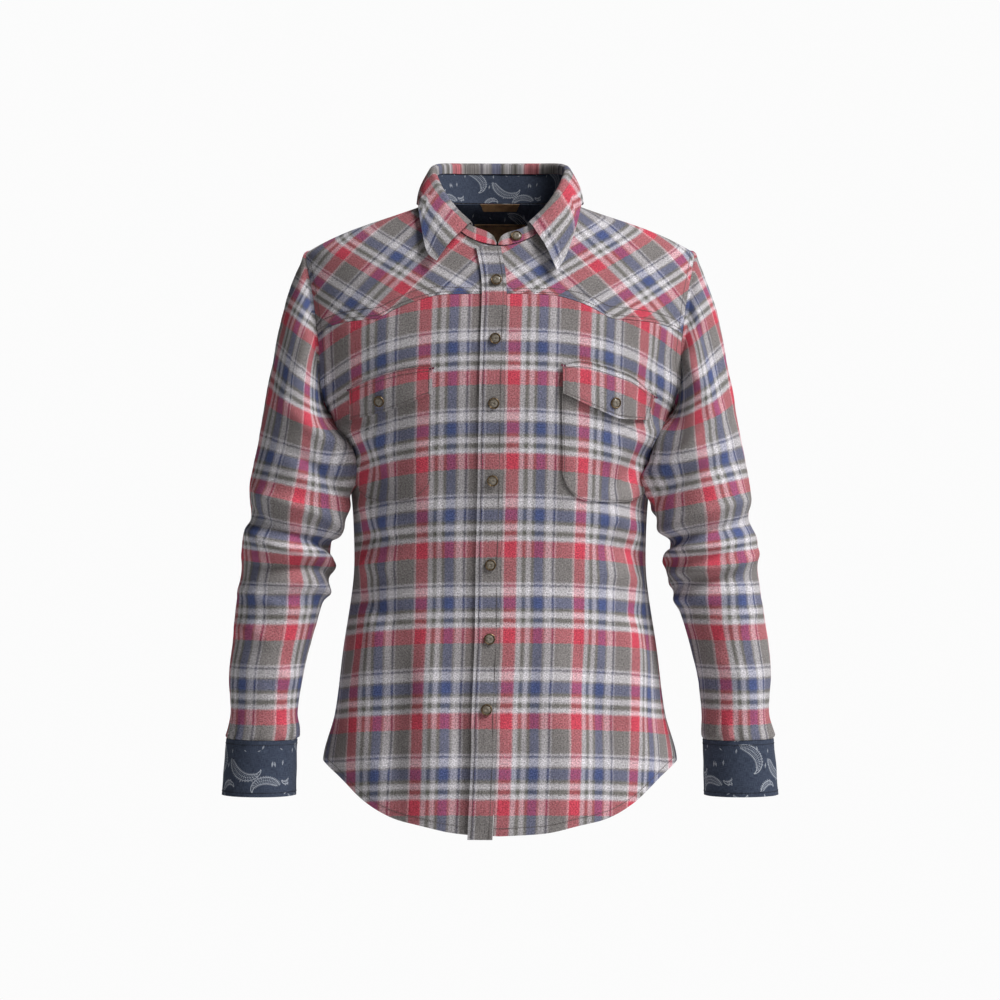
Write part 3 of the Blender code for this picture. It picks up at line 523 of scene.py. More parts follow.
def paisleyMask(nodes, place, row):
    # a comma whose spine is a spiral: thin where it curls, fat towards its head
    a, b = turnedPlace(nodes, place, row["x"], row["y"], row["turn"])
    b = nodes.times(b, row["flip"])
    radius = nodes.math("SQRT", nodes.plus(nodes.times(a, a), nodes.times(b, b)))
    turn = nodes.math("ARCTAN2", b, a)
    t = nodes.range(turn, -paisley["sweep"], paisley["sweep"])
    spine = nodes.times(nodes.math("EXPONENT", nodes.times(turn, paisley["curl"])), row["radius"])
    bulge = nodes.times(nodes.math("POWER", t, 1.5), nodes.math("POWER", nodes.minus(1.0, t), 0.5))
    half = nodes.timesPlus(bulge, row["width"] * paisley["fat"], paisley["thin"])
    away = nodes.math("ABSOLUTE", nodes.minus(radius, spine))
    edge = nodes.math("ABSOLUTE", nodes.minus(away, half))
    inside = nodes.times(nodes.math("GREATER_THAN", t, 0.001), nodes.math("LESS_THAN", t, 0.999))
    line = nodes.range(edge, paisley["line"] * 0.5, paisley["line"], 1.0, 0.0)
    travel = nodes.times(spine, turn)
    beads = nodes.math("SINE", nodes.times(travel, 2 * math.pi / paisley["bead"]))
    core = nodes.math("ABSOLUTE", nodes.minus(away, nodes.times(half, 0.55)))
    second = nodes.times(nodes.range(core, 0.0003, 0.0007, 1.0, 0.0), nodes.range(beads, -0.3, 0.3))
    middleOf = nodes.math("LESS_THAN", away, nodes.times(half, 0.22))
    heart = nodes.times(middleOf, nodes.range(beads, 0.3, -0.1))
    wide = nodes.math("GREATER_THAN", half, 0.0018)
    filling = nodes.times(nodes.math("MAXIMUM", second, heart), wide)
    outer = nodes.math("ABSOLUTE", nodes.minus(nodes.minus(away, half), paisley["fringe"]))
    dots = nodes.times(nodes.range(beads, 0.1, -0.3), nodes.math("GREATER_THAN", t, 0.4))
    fringe = nodes.times(nodes.range(outer, 0.0003, 0.0006, 0.8, 0.0), dots)
    mark = nodes.math("MAXIMUM", line, nodes.times(filling, 0.85))
    return nodes.times(nodes.math("MAXIMUM", mark, fringe), inside)


def sprigMask(nodes, place, row):
    a, b = turnedPlace(nodes, place, row["x"], row["y"], row["turn"])
    reach = nodes.plus(nodes.math("DIVIDE", nodes.math("ABSOLUTE", a), row["length"] / 2),
                       nodes.math("DIVIDE", nodes.math("ABSOLUTE", b), row["length"] * 0.16))
    return nodes.range(reach, 0.85, 1.15, 0.75, 0.0)


def makeChambray():
    nodes = Nodes("printed_chambray")
    uv = nodes.uv()
    place = nodes.vector("WRAP", uv, (paisley["tileWidth"], paisley["tileHeight"], 1.0))
    mark = 0.0
    for row in paisleys:
        mark = nodes.math("MAXIMUM", paisleyMask(nodes, place, row), mark)
    for row in sprigs:
        mark = nodes.math("MAXIMUM", sprigMask(nodes, place, row), mark)
    worn = nodes.range(nodes.noise(uv, 900.0, 3.0, 0.7), 0.35, 0.60, 0.35, 1.0)
    mark = nodes.times(mark, worn)
    warp = nodes.noise(nodes.stretch(uv, (1.0, 0.12, 1.0)), 1500.0, 2.0)
    weft = nodes.noise(nodes.stretch(uv, (0.12, 1.0, 1.0)), 1500.0, 2.0)
    slub = nodes.times(nodes.plus(warp, weft), 0.5)
    patch = nodes.noise(uv, 60.0, 3.0)
    ground = nodes.blend(nodes.range(slub, 0.35, 0.65), opaque((0.016, 0.021, 0.038)),
                         opaque((0.062, 0.080, 0.122)))
    ground = nodes.blend(nodes.range(patch, 0.3, 0.7, 0.0, 0.35), ground, opaque((0.030, 0.040, 0.070)))
    colour = nodes.blend(mark, ground, opaque(paisley["colour"]))
    return nodes.surface({"Base Color": colour, "Normal": nodes.bump(slub, 0.4, 0.0004), "Roughness": 0.85,
                          "Specular IOR Level": 0.2, "Sheen Weight": 0.05})


def makeLeather():
    nodes = Nodes("tan_leather")
    place = nodes.place()
    cells = nodes.add("TexVoronoi", feature="DISTANCE_TO_EDGE")
    nodes.feed(cells.inputs["Vector"], place)
    cells.inputs["Scale"].default_value = 900.0
    pores = nodes.noise(place, 260.0, 4.0, 0.65)
    tone = nodes.noise(place, 70.0, 3.0)
    colour = nodes.blend(nodes.range(tone, 0.3, 0.7), opaque((0.150, 0.072, 0.026)),
                         opaque((0.330, 0.185, 0.075)))
    colour = nodes.blend(nodes.range(pores, 0.45, 0.75, 0.0, 0.6), colour, opaque((0.07, 0.035, 0.016)))
    height = nodes.plus(nodes.range(cells.outputs["Distance"], 0.0, 0.1), pores)
    return nodes.surface({"Base Color": colour, "Normal": nodes.bump(height, 0.5, 0.0003), "Roughness": 0.6})


def makeBrass():
    nodes = Nodes("antique_brass")
    place = nodes.place()
    worn = nodes.noise(place, 900.0, 3.0, 0.6)
    stain = nodes.noise(place, 260.0, 2.0)
    colour = nodes.blend(nodes.range(worn, 0.45, 0.65), opaque((0.085, 0.055, 0.030)),
                         opaque((0.300, 0.215, 0.125)))
    colour = nodes.blend(nodes.range(stain, 0.55, 0.75, 0.0, 0.7), colour, opaque((0.045, 0.032, 0.022)))
    return nodes.surface({"Base Color": colour, "Normal": nodes.bump(worn, 0.3, 0.0002), "Metallic": 0.85,
                          "Roughness": nodes.range(worn, 0.3, 0.7, 0.48, 0.32)})


def makePearl():
    nodes = Nodes("smoked_pearl")
    place = nodes.place()
    swirl = nodes.noise(nodes.stretch(place, (1.0, 1.0, 2.6)), 240.0, 3.0, 0.6)
    colour = nodes.blend(nodes.range(swirl, 0.35, 0.65), opaque((0.105, 0.085, 0.062)),
                         opaque((0.250, 0.220, 0.175)))
    return nodes.surface({"Base Color": colour, "Normal": nodes.bump(swirl, 0.15, 0.0003), "Roughness": 0.28,
                          "Coat Weight": 0.25, "Coat Roughness": 0.15})


def makeThread(name, colour):
    nodes = Nodes(name)
    place = nodes.place()
    ply = nodes.noise(place, 2600.0, 2.0)
    dark = tuple(channel * 0.6 for channel in colour)
    mixed = nodes.blend(nodes.range(ply, 0.35, 0.65), opaque(dark), opaque(colour))
    return nodes.surface({"Base Color": mixed, "Normal": nodes.bump(ply, 0.3, 0.0001), "Roughness": 0.8})


flannel = makeFlannel()
chambray = makeChambray()
leather = makeLeather()
brass = makeBrass()
pearl = makePearl()
greyThread = makeThread("grey_thread", (0.125, 0.105, 0.10))
navyThread = makeThread("navy_thread", (0.012, 0.015, 0.026))
berryThread = makeThread("berry_thread", (0.16, 0.02, 0.06))
print("materials are ready")

# Where the plaid lies on each piece

weftLines = table("z count", [(-0.750, 6.0), (-0.650, 5.0), (-0.550, 4.0), (-0.4514, 3.0),
                              (-0.3481, 2.0), (-0.2483, 1.0), (-0.1553, 0.0), (-0.065, -1.0)])
weftDroop = table("z droop", [(-0.650, 0.0110), (-0.550, 0.0157), (-0.451, 0.0160),
                              (-0.348, 0.0300), (-0.250, 0.0425), (-0.155, 0.0410)])
frontRed = {1: 0.0175, -1: -0.0875}  # where a red warp band starts on each front
navyPlace = 0.678                    # the navy weft line within its repeat
sideReach = 0.195                    # half the chest's width, where the droop above is measured
leftSpread = 2.4                     # the left front's bands widen towards its side
backLay = {"droop": 0.006, "start": 0.4, "yokeStart": 0.25}
yokeStretch = 1.12                   # the yokes lean back, so their cloth is longer than their height


def middle(z):
    return along(middleLine, z, "x")


def stripeCount(rows, z):
    # runs on evenly past the table's ends
    first, last = rows[0], rows[-1]
    if z > last["z"]:
        return last["count"] - (z - last["z"]) / plaid["weftRepeat"]
    if z < first["z"]:
        return first["count"] + (first["z"] - z) / plaid["weftRepeat"]
    return along(rows, z, "count")


def frontPlaid(x, z, side):
    arc = bodyArc(x, z, -1) - bodyArc(middle(z), z, -1)
    if side > 0:
        arc += leftSpread * arc ** 3
    droop = along(weftDroop, z, "droop") * (abs(x) / sideReach) ** 3
    return (arc - frontRed[side]) / plaid["warpRepeat"], navyPlace - stripeCount(weftLines, z + droop)


def backPlaid(x, z):
    droop = backLay["droop"] * (abs(x) / sideReach) ** 3
    return (bodyArc(x, z, 1) / plaid["warpRepeat"] + backLay["start"],
            navyPlace - stripeCount(weftLines, z + droop))


bias = {"down": math.radians(47.0), "up": math.radians(33.0), "warpRepeat": 0.0885, "weftRepeat": 0.082,
        "warpStart": {1: 0.0174, -1: -0.0026}, "weftStart": {1: 0.0211, -1: -0.0035}}


def yokePlaid(x, z, side, face):
    # lengthwise stripes run down and outwards, crosswise ones up and outwards
    arc = abs(bodyArc(x, z, face))
    height = z * yokeStretch
    down = math.sin(bias["down"]) * arc + math.cos(bias["down"]) * height
    up = math.cos(bias["up"]) * height - math.sin(bias["up"]) * arc
    return ((down - bias["warpStart"][side]) / bias["warpRepeat"],
            (up - bias["weftStart"][side]) / bias["weftRepeat"])


# Panels

def armTurn(step):
    return 2 * math.pi * step / arm["steps"]


def armWidth(turn):
    z = arm["height"] + arm["rise"] * math.cos(turn)
    return bodyWidth(z) * math.cos(arm["reach"] * abs(math.sin(turn))), z


quarter = arm["steps"] // 4


def sideEdge(row):
    if row <= sideRows:
        return math.pi / 2, mix(hemLine[-1]["z"], arm["height"] - arm["rise"], row / sideRows)
    turn = armTurn(2 * quarter - (row - sideRows))
    return math.pi / 2 - arm["reach"] * math.sin(turn), arm["height"] + arm["rise"] * math.cos(turn)


def frontYokeHeight(share, side):
    point = yokePoint[side]
    share = max(share, 0.0)
    if share < point:
        return along(yokeInner, share / point, "z")
    return along(yokeOuter, (share - point) / (1 - point), "z")


def backYokeHeight(share):
    return mix(backYoke["centre"], backYoke["side"], abs(share) ** 0.9)


def frontEdge(z, side):
    if side > 0:
        return middle(z) + placket["right"] + seam
    return -(middle(z) + placket["underlap"])


def panelPlace(share, row, startX, seamHeight):
    # width and height of a panel's corner, between the hem and its yoke seam
    edgeAngle, edgeZ = sideEdge(row)
    climb = (edgeZ - hemLine[-1]["z"]) / (arm["height"] - hemLine[-1]["z"])
    centreZ = mix(hemLine[0]["z"], seamHeight(0.0), climb)
    start = math.asin(startX(centreZ) / bodyWidth(centreZ))
    angle = mix(start, edgeAngle, share)
    across = min(abs(angle) / edgeAngle, 1.0)
    z = mix(along(hemLine, across, "z"), seamHeight(across), climb)
    return bodyWidth(z) * math.sin(angle), z


fine = {"frontColumns": 48, "frontRows": 120, "backColumns": 84, "yokeColumns": 60, "yokeRows": 24}


def makeFront(side):
    columns = fine["frontColumns"]
    rows = fine["frontRows"]
    allRows = sideRows + quarter

    def place(i, j):
        x, z = panelPlace(i / columns, allRows * j / rows, lambda height: frontEdge(height, side),
                          lambda across: frontYokeHeight(across, side) - seam)
        return onBody(side * x, z, -1), frontPlaid(side * x, z, side)

    return clothShell(f"front_{sideName(side)}_cloth", columns, rows, place, wall["cloth"], side)


def makeBack():
    columns = fine["backColumns"]
    rows = fine["frontRows"]
    allRows = sideRows + quarter

    def place(i, j):
        share = 2 * i / columns - 1
        side = -1 if share < 0 else 1
        x, z = panelPlace(abs(share), allRows * j / rows, lambda height: 0.0,
                          lambda across: backYokeHeight(across) - seam)
        return onBody(side * x, z, 1), backPlaid(side * x, z)

    return clothShell("back_cloth", columns, rows, place, wall["cloth"], -1)


def neckPlace(turn):
    if turn <= math.pi / 2:
        drop = neck["drop"] * max(math.cos(turn), 0.0) ** 1.25
        return neck["width"] * math.sin(turn), neck["side"] - drop
    z = neck["side"] + neck["backRise"] * (turn - math.pi / 2) / (math.pi / 2)
    return bodyWidth(z) * math.sin(turn), z


def yokePlace(bottom, top, share, row):
    turn = armTurn(quarter - row)
    climb = math.cos(turn)
    x = mix(bottom[0], top[0], climb)
    z = mix(bottom[1], top[1], climb)
    straight = mix(armWidth(math.pi / 2)[0], armWidth(0.0)[0], climb)
    return x + (armWidth(turn)[0] - straight) * share ** 3, z


def shoulderPlace(share):
    z = mix(neck["side"], arm["height"] + arm["rise"], share ** 1.15)
    return bodyWidth(z), z


def frontStops(side):
    first = math.degrees(math.asin(frontEdge(neck["side"] - neck["drop"], side) / neck["width"]))
    return [first] + neckStops


def stopAngle(stops, place):
    low = min(int(place), len(stops) - 2)
    return mix(stops[low], stops[low + 1], place - low)


def frontYokePlace(side, share, row):
    # share runs from the front edge to the armhole, row from the seam to the shoulder
    point = yokePoint[side]
    before = round(point * frontColumns)
    column = share * frontColumns
    if column <= before:
        share = point * column / before
    else:
        share = mix(point, 1.0, (column - before) / (frontColumns - before))
    seamEdge = math.pi / 2 - arm["reach"]
    seamStart = frontEdge(frontYokeHeight(0.0, side), side)
    start = math.asin(seamStart / bodyWidth(frontYokeHeight(0.0, side)))
    angle = mix(start, seamEdge, share)
    bottomZ = frontYokeHeight(angle / seamEdge, side) + (seam if share < 1 else 0.0)
    bottom = (bodyWidth(bottomZ) * math.sin(angle), bottomZ)
    if column <= neckColumns:
        top = neckPlace(math.radians(stopAngle(frontStops(side), column)))
    else:
        top = shoulderPlace((column - neckColumns) / (frontColumns - neckColumns))
    return yokePlace(bottom, top, share, row)


def makeFrontYoke(side):
    columns = fine["yokeColumns"]
    rows = fine["yokeRows"]

    def place(i, j):
        x, z = frontYokePlace(side, i / columns, quarter * j / rows)
        return onBody(side * x, z, -1), yokePlaid(x, z, side, -1)

    return clothShell(f"yoke_front_{sideName(side)}_cloth", columns, rows, place, wall["cloth"], side)


def backYokePlace(share, row):
    half = backColumns // 2
    neckCount = len(neckStops) - 1 - neckStops.index(90.0)
    angle = mix(0.0, math.pi / 2 - arm["reach"], share)
    bottomZ = backYokeHeight(share) + (seam if share < 1 else 0.0)
    bottom = (bodyWidth(bottomZ) * math.sin(angle), bottomZ)
    place = share * half
    if place <= neckCount:
        top = neckPlace(math.radians(stopAngle(neckStops[::-1], place)))
    else:
        top = shoulderPlace((place - neckCount) / (half - neckCount))
    return yokePlace(bottom, top, share, row)


def makeBackYoke():
    columns = 2 * fine["yokeColumns"]
    rows = fine["yokeRows"]

    def shell(name, out, thick, flat):
        def place(i, j):
            share = 2 * i / columns - 1
            side = -1 if share < 0 else 1
            x, z = backYokePlace(abs(share), quarter * j / rows)
            return onBody(side * x, z, 1, out), flat(side * x, z)

        return clothShell(name, columns, rows, place, thick, -1)

    yoke = shell("yoke_back_cloth", 0.0, wall["cloth"],
                 lambda x, z: (bodyArc(x, z, 1) / plaid["warpRepeat"] + backLay["yokeStart"],
                               -z / plaid["weftRepeat"]))
    lining = shell("yoke_lining_cloth", -wall["cloth"] - liningGap, wall["lining"],
                   lambda x, z: (bodyArc(x, z, 1), z))
    return yoke, lining


# Sleeves and cuffs

sleeve = table("outerX outerZ innerX innerZ depth forward", [
    (0.2425, -0.0765, 0.2062, -0.2645, 0.0585, 0.000), (0.2525, -0.1015, 0.2028, -0.2730, 0.0605, 0.002),
    (0.2605, -0.1300, 0.1985, -0.2840, 0.0620, 0.004), (0.2680, -0.1630, 0.1925, -0.2980, 0.0630, 0.007),
    (0.2730, -0.1940, 0.1872, -0.3160, 0.0630, 0.010), (0.2790, -0.2260, 0.1838, -0.3380, 0.0625, 0.012),
    (0.2850, -0.2600, 0.1830, -0.3520, 0.0610, 0.013), (0.2912, -0.2950, 0.1848, -0.3660, 0.0590, 0.014),
    (0.2985, -0.3300, 0.1890, -0.3800, 0.0570, 0.014), (0.2995, -0.3520, 0.1960, -0.3925, 0.0560, 0.014),
    (0.2978, -0.3760, 0.2022, -0.4050, 0.0540, 0.014), (0.3065, -0.3960, 0.2000, -0.4235, 0.0545, 0.014),
    (0.3090, -0.4160, 0.2008, -0.4390, 0.0530, 0.014), (0.3085, -0.4360, 0.2070, -0.4570, 0.0515, 0.014),
    (0.3130, -0.4680, 0.2135, -0.4780, 0.0500, 0.014), (0.3195, -0.5180, 0.2235, -0.5130, 0.0475, 0.015),
    (0.3234, -0.5600, 0.2345, -0.5550, 0.0445, 0.015), (0.3215, -0.6000, 0.2412, -0.6020, 0.0405, 0.015),
    (0.3225, -0.6210, 0.2414, -0.6230, 0.0385, 0.015), (0.3262, -0.6357, 0.2425, -0.6367, 0.0370, 0.015)])
sleeveStart = {"turn": 0.0012, "step": 0.0030}
sleeveFine = {"columns": 80, "rowsPerRing": 7, "radius": 0.048}
sleeveRed = {-1: 0.0175, 1: -0.0205}
sleeveRepeat = 0.085
sleeveShift = table("z shift", [(-0.500, 0.0), (-0.430, 0.0100), (-0.340, 0.0190), (-0.190, 0.0170)])
sleeveLines = table("z count", [(-0.650, 5.0), (-0.550, 4.0), (-0.452, 3.0), (-0.380, 2.0),
                                (-0.292, 1.0), (-0.202, 0.0)])
sleeveTilt = table("z tilt", [(-0.455, 0.0), (-0.380, 0.18), (-0.290, 0.27), (-0.190, 0.84)])
sleeveMiddle = table("z x", sorted(
    ((row["outerZ"] + row["innerZ"]) / 2, (row["outerX"] + row["innerX"]) / 2) for row in sleeve))
cuff = {"top": dict(zip("outerX outerZ innerX innerZ depth forward".split(),
                        (0.3272, -0.6362, 0.2420, -0.6372, 0.0375, 0.015))),
        "bottom": dict(zip("outerX outerZ innerX innerZ depth forward".split(),
                           (0.3325, -0.7030, 0.2440, -0.7035, 0.0385, 0.015))),
        "step": 15, "start": 255, "lap": 2, "ramp": 2, "finer": 4, "rows": 18, "soft": 0.0007,
        "around": 0.252, "height": 0.067, "printStart": {1: 0.030, -1: 0.061}, "printTop": 0.004}


def sectionPoint(row, side, turn):
    reach = Vector((row["outerX"] - row["innerX"], 0.0, row["outerZ"] - row["innerZ"])) / 2
    centre = Vector(((row["outerX"] + row["innerX"]) / 2, -row["forward"],
                     (row["outerZ"] + row["innerZ"]) / 2))
    point = centre + reach * math.cos(turn)
    point.y -= row["depth"] * math.sin(turn)
    point.x *= side
    return point


def armOutline(side, turn):
    x, z = armWidth(turn)
    return bodyPoint(side * x, z, -1 if math.sin(turn) >= 0 else 1)


def armhole(side, turn):
    face = -1 if math.sin(turn) >= 0 else 1
    point = armOutline(side, turn)
    normal = bodyNormal(point, face)
    if abs(math.sin(turn)) < 0.001:
        point.y = 0.0
    step = 0.02
    tangent = armOutline(side, turn + step) - armOutline(side, turn - step)
    inward = normal.cross(tangent).normalized()
    centre = Vector((side * armWidth(math.pi / 2)[0], 0.0, arm["height"]))
    if inward.dot(centre - point) < 0:
        inward = -inward
    return point, normal, inward


def sleeveLine(side, turn):
    # every ring's point at one angle, the armhole's first
    point, normal, inward = armhole(side, turn)
    line = [point + inward * seam,
            point + inward * sleeveStart["turn"] + Vector((side * sleeveStart["step"], 0, 0))]
    return line + [sectionPoint(row, side, turn) for row in sleeve]


def curvePoint(line, place):
    # smooth curve through the points of a list
    last = len(line) - 1
    low = min(int(place), last - 1)
    t = place - low
    if low == 0:
        return line[0].lerp(line[1], t)
    a = line[max(low - 1, 1)]
    b = line[low]
    c = line[low + 1]
    d = line[min(low + 2, last)]
    return 0.5 * (2 * b + (c - a) * t + (2 * a - 5 * b + 4 * c - d) * t ** 2
                  + (3 * b - a - 3 * c + d) * t ** 3)


# sleeve creases: turn in degrees (0 outer, 90 front, 180 inner, 270 back) and height at each end
sleeveCrease = "turn1 z1 turn2 z2 width height"
sleeveCreases = {
    1: table(sleeveCrease, [
        (175, -0.345, 60, -0.255, 0.011, 0.0060), (178, -0.365, 50, -0.300, 0.010, -0.0046),
        (170, -0.385, 30, -0.352, 0.010, 0.0060), (160, -0.404, 20, -0.372, 0.008, -0.0056),
        (185, -0.420, 60, -0.398, 0.009, 0.0056), (150, -0.438, 10, -0.418, 0.009, 0.0050),
        (165, -0.452, 40, -0.440, 0.008, -0.0044), (180, -0.474, 70, -0.462, 0.010, 0.0044),
        (100, -0.500, 20, -0.480, 0.010, 0.0030), (120, -0.150, 60, -0.260, 0.013, 0.0044),
        (90, -0.118, 40, -0.210, 0.012, -0.0034), (130, -0.540, 50, -0.560, 0.013, 0.0026),
        (200, -0.360, 300, -0.330, 0.011, 0.0050), (195, -0.396, 320, -0.380, 0.009, -0.0050),
        (200, -0.424, 330, -0.405, 0.010, 0.0056), (190, -0.455, 300, -0.450, 0.010, 0.0044),
        (250, -0.500, 320, -0.480, 0.012, 0.0030), (240, -0.190, 300, -0.290, 0.014, 0.0044),
        (148, -0.262, 150, -0.372, 0.020, 0.0135)]),
    -1: table(sleeveCrease, [
        (172, -0.330, 70, -0.240, 0.012, 0.0056), (176, -0.352, 62, -0.290, 0.010, -0.0046),
        (178, -0.392, 40, -0.340, 0.010, 0.0062), (168, -0.412, 24, -0.366, 0.008, -0.0056),
        (150, -0.420, 10, -0.388, 0.010, 0.0060), (172, -0.440, 50, -0.425, 0.008, -0.0050),
        (178, -0.458, 60, -0.446, 0.010, 0.0054), (120, -0.480, 14, -0.458, 0.009, 0.0036),
        (90, -0.515, 20, -0.500, 0.010, 0.0026), (110, -0.130, 56, -0.230, 0.014, 0.0040),
        (140, -0.560, 60, -0.545, 0.013, 0.0028), (205, -0.350, 300, -0.320, 0.011, 0.0048),
        (190, -0.400, 320, -0.372, 0.009, -0.0050), (198, -0.430, 330, -0.398, 0.010, 0.0054),
        (192, -0.460, 310, -0.446, 0.010, 0.0044), (245, -0.180, 300, -0.280, 0.014, 0.0042),
        (148, -0.262, 150, -0.378, 0.020, 0.0135)])}
gathers = {"count": 15, "height": 0.0022, "reach": 0.034}


def sleeveRelief(side, turn, point):
    degrees = math.degrees(turn) % 360
    total = 0.0
    for row in sleeveCreases[side]:
        dx = math.radians(row["turn2"] - row["turn1"]) * sleeveFine["radius"]
        x = math.radians(degrees - row["turn1"]) * sleeveFine["radius"]
        total += ridge(creaseMade["sleeve"], row, x, point.z - row["z1"], dx, row["z2"] - row["z1"],
                       row["turn1"])
    total += grain["sleeve"] * noise.noise(Vector((point.x * 26, point.y * 26, point.z * 22 + side)))
    total += grain["fine"] * noise.noise(point * 85)
    nearCuff = smooth(cuff["top"]["outerZ"] + gathers["reach"], cuff["top"]["outerZ"] + 0.004, point.z)
    ripple = (math.sin(gathers["count"] * turn + 1.2 * math.sin(2.0 * turn + side))
              * (0.6 + 0.4 * math.sin(3.1 * turn + side)))
    total += nearCuff * (gathers["height"] * ripple + 0.0012)
    bottom = smooth(cuff["top"]["outerZ"], cuff["top"]["outerZ"] + 0.003, point.z)
    return total * bottom


def sleevePlaid(side, arc, point):
    centre = along(sleeveMiddle, point.z, "x")
    tilt = along(sleeveTilt, point.z, "tilt")
    level = point.z - tilt * (abs(point.x) - centre)
    shift = side * along(sleeveShift, point.z, "shift")
    return (arc - sleeveRed[side] - shift) / sleeveRepeat, navyPlace - stripeCount(sleeveLines, level)


def makeSleeve(side):
    columns = sleeveFine["columns"]
    lines = [sleeveLine(side, math.pi + 2 * math.pi * i / columns) for i in range(columns + 1)]
    rings = len(lines[0]) - 1
    rows = rings * sleeveFine["rowsPerRing"]
    points = [[curvePoint(line, rings * j / rows) for j in range(rows + 1)] for line in lines]
    front = round(columns * 0.75)    # turn 90 degrees, 360 + 90 - 180 along the grid
    arcs = []
    for j in range(rows + 1):
        run = [0.0]
        for i in range(columns):
            run.append(run[-1] + (points[i + 1][j] - points[i][j]).length)
        arcs.append(run)

    def turnAt(i):
        return math.pi + 2 * math.pi * i / columns

    def place(i, j):
        # grid steps run inner, back, outer, front, inner
        arc = (arcs[j][i] - arcs[j][front]) * -side
        return points[i][j], sleevePlaid(side, arc, points[i][j])

    def relief(i, j):
        start = smooth(0, sleeveFine["rowsPerRing"] * 2.5, j)
        return sleeveRelief(side, turnAt(i), points[i][j]) * start

    return clothShell(f"sleeve_{sideName(side)}_cloth", columns, rows, place, wall["cloth"],
                      side, tube=True, relief=relief)


def cuffRow(share):
    return {key: mix(cuff["top"][key], cuff["bottom"][key], share) for key in cuff["top"]}


def cuffPoint(side, step, share, out=0.0):
    turn = math.radians(cuff["start"] + cuff["step"] * step)
    row = cuffRow(share)
    point = sectionPoint(row, side, turn)
    away = Vector((side * math.cos(turn) / (row["outerX"] - row["innerX"]) * 2,
                   -math.sin(turn) / row["depth"], 0.0)).normalized()
    whole = 360 // cuff["step"]
    climb = smooth(0.0, 1.0, (step - whole + cuff["ramp"]) / cuff["ramp"])
    soft = cuff["soft"] * noise.noise(Vector((step * 0.8, share * 3.0, side * 4.0))) * (1 - climb)
    soft *= smooth(0.0, 2.0, step)
    return point + away * (climb * (wall["cuff"] + seam) + out + soft), away


def makeCuff(side):
    columns = (360 // cuff["step"] + cuff["lap"]) * cuff["finer"]
    rows = cuff["rows"]

    def place(i, j):
        step = i / cuff["finer"]
        share = j / rows
        flatX = step * cuff["step"] / 360 * cuff["around"] * -side + cuff["printStart"][side]
        return cuffPoint(side, step, share)[0], (flatX, cuff["printTop"] - share * cuff["height"])

    return clothShell(f"cuff_{sideName(side)}_cloth", columns, rows, place, wall["cuff"], side)


# Placket, pockets and flaps

pocketEdge = {1: (0.0715, 0.1775), -1: (0.0785, 0.1725)}
pocket = {"bottom": -0.3530, "corner": 0.036}
flap = {
    1: table("x top lower", [(0.0720, -0.1936, -0.2275), (0.0960, -0.1900, -0.2384),
                             (0.1348, -0.2000, -0.2548), (0.1570, -0.2090, -0.2560),
                             (0.1800, -0.2280, -0.2555)]),
    -1: table("x top lower", [(0.0776, -0.1976, -0.2273), (0.1030, -0.1985, -0.2375),
                              (0.1289, -0.2035, -0.2465), (0.1530, -0.2110, -0.2515),
                              (0.1745, -0.2195, -0.2550)])}
flapSlant = {1: 0.0105, -1: 0.0030}  # how far the outer lower corner lies in
flapCurl = {"even": 0.0020, "middle": 0.0016}
flapShift = {1: -0.07, -1: -0.10}    # the plaid on a flap sits a little higher than on the front


def makePlacket():
    columns = 10
    rows = 230

    def place(i, j):
        z = mix(placket["bottom"], placket["top"], j / rows)
        x = middle(z) + mix(-placket["left"], placket["right"], i / columns)
        ripple = 0.0006 * math.sin(z * 95) * math.sin(math.pi * i / columns)
        return onBody(x, z, -1, lift + wall["placket"] + ripple), frontPlaid(x, z, 1)

    return clothShell("placket_cloth", columns, rows, place, wall["placket"], 1)


def flapPlace(side, across, down):
    rows = flap[side]
    place = across * (len(rows) - 1)
    low = min(int(place), len(rows) - 2)
    x = mix(rows[low]["x"], rows[low + 1]["x"], place - low)
    top = along(rows, x, "top")
    part = rows[:3] if x <= rows[2]["x"] else rows[2:]
    lower = along(part, x, "lower")
    return x - flapSlant[side] * down * smooth(0.55, 1.0, across), mix(top, lower, down)


def pocketPlace(side, across, up):
    inner, outer = pocketEdge[side]
    x = mix(inner, outer, across)
    intoCorner = max(pocket["corner"] - min(x - inner, outer - x), 0.0)
    rounding = pocket["corner"] - math.sqrt(pocket["corner"] ** 2 - intoCorner ** 2)
    top = flapPlace(side, across, 0.30)[1]
    return x, mix(pocket["bottom"] + rounding, top, up)


def makePocket(side):
    columns = 36
    rows = 36

    def place(i, j):
        # columns crowd at the rounded corners
        across = 0.5 - 0.5 * math.cos(math.pi * i / columns)
        x, z = pocketPlace(side, across, j / rows)
        return onBody(side * x, z, -1, lift + wall["pocket"]), frontPlaid(side * x, z, side)

    return clothShell(f"pocket_{sideName(side)}_cloth", columns, rows, place, wall["pocket"], side)


def flapOut(across, down):
    # the flap's lower edge stands off, most of all in its middle
    curl = flapCurl["even"] * down + flapCurl["middle"] * down ** 2 * math.sin(math.pi * across) ** 2
    return 2 * lift + wall["pocket"] + wall["flap"] + curl


def makeFlap(side):
    columns = 40
    rows = 16

    def place(i, j):
        across = i / columns
        down = j / rows
        x, z = flapPlace(side, across, down)
        u, v = frontPlaid(side * x, z, side)
        return onBody(side * x, z, -1, flapOut(across, down)), (u, v + flapShift[side])

    return clothShell(f"flap_{sideName(side)}_cloth", columns, rows, place, wall["flap"], -side)


# Collar

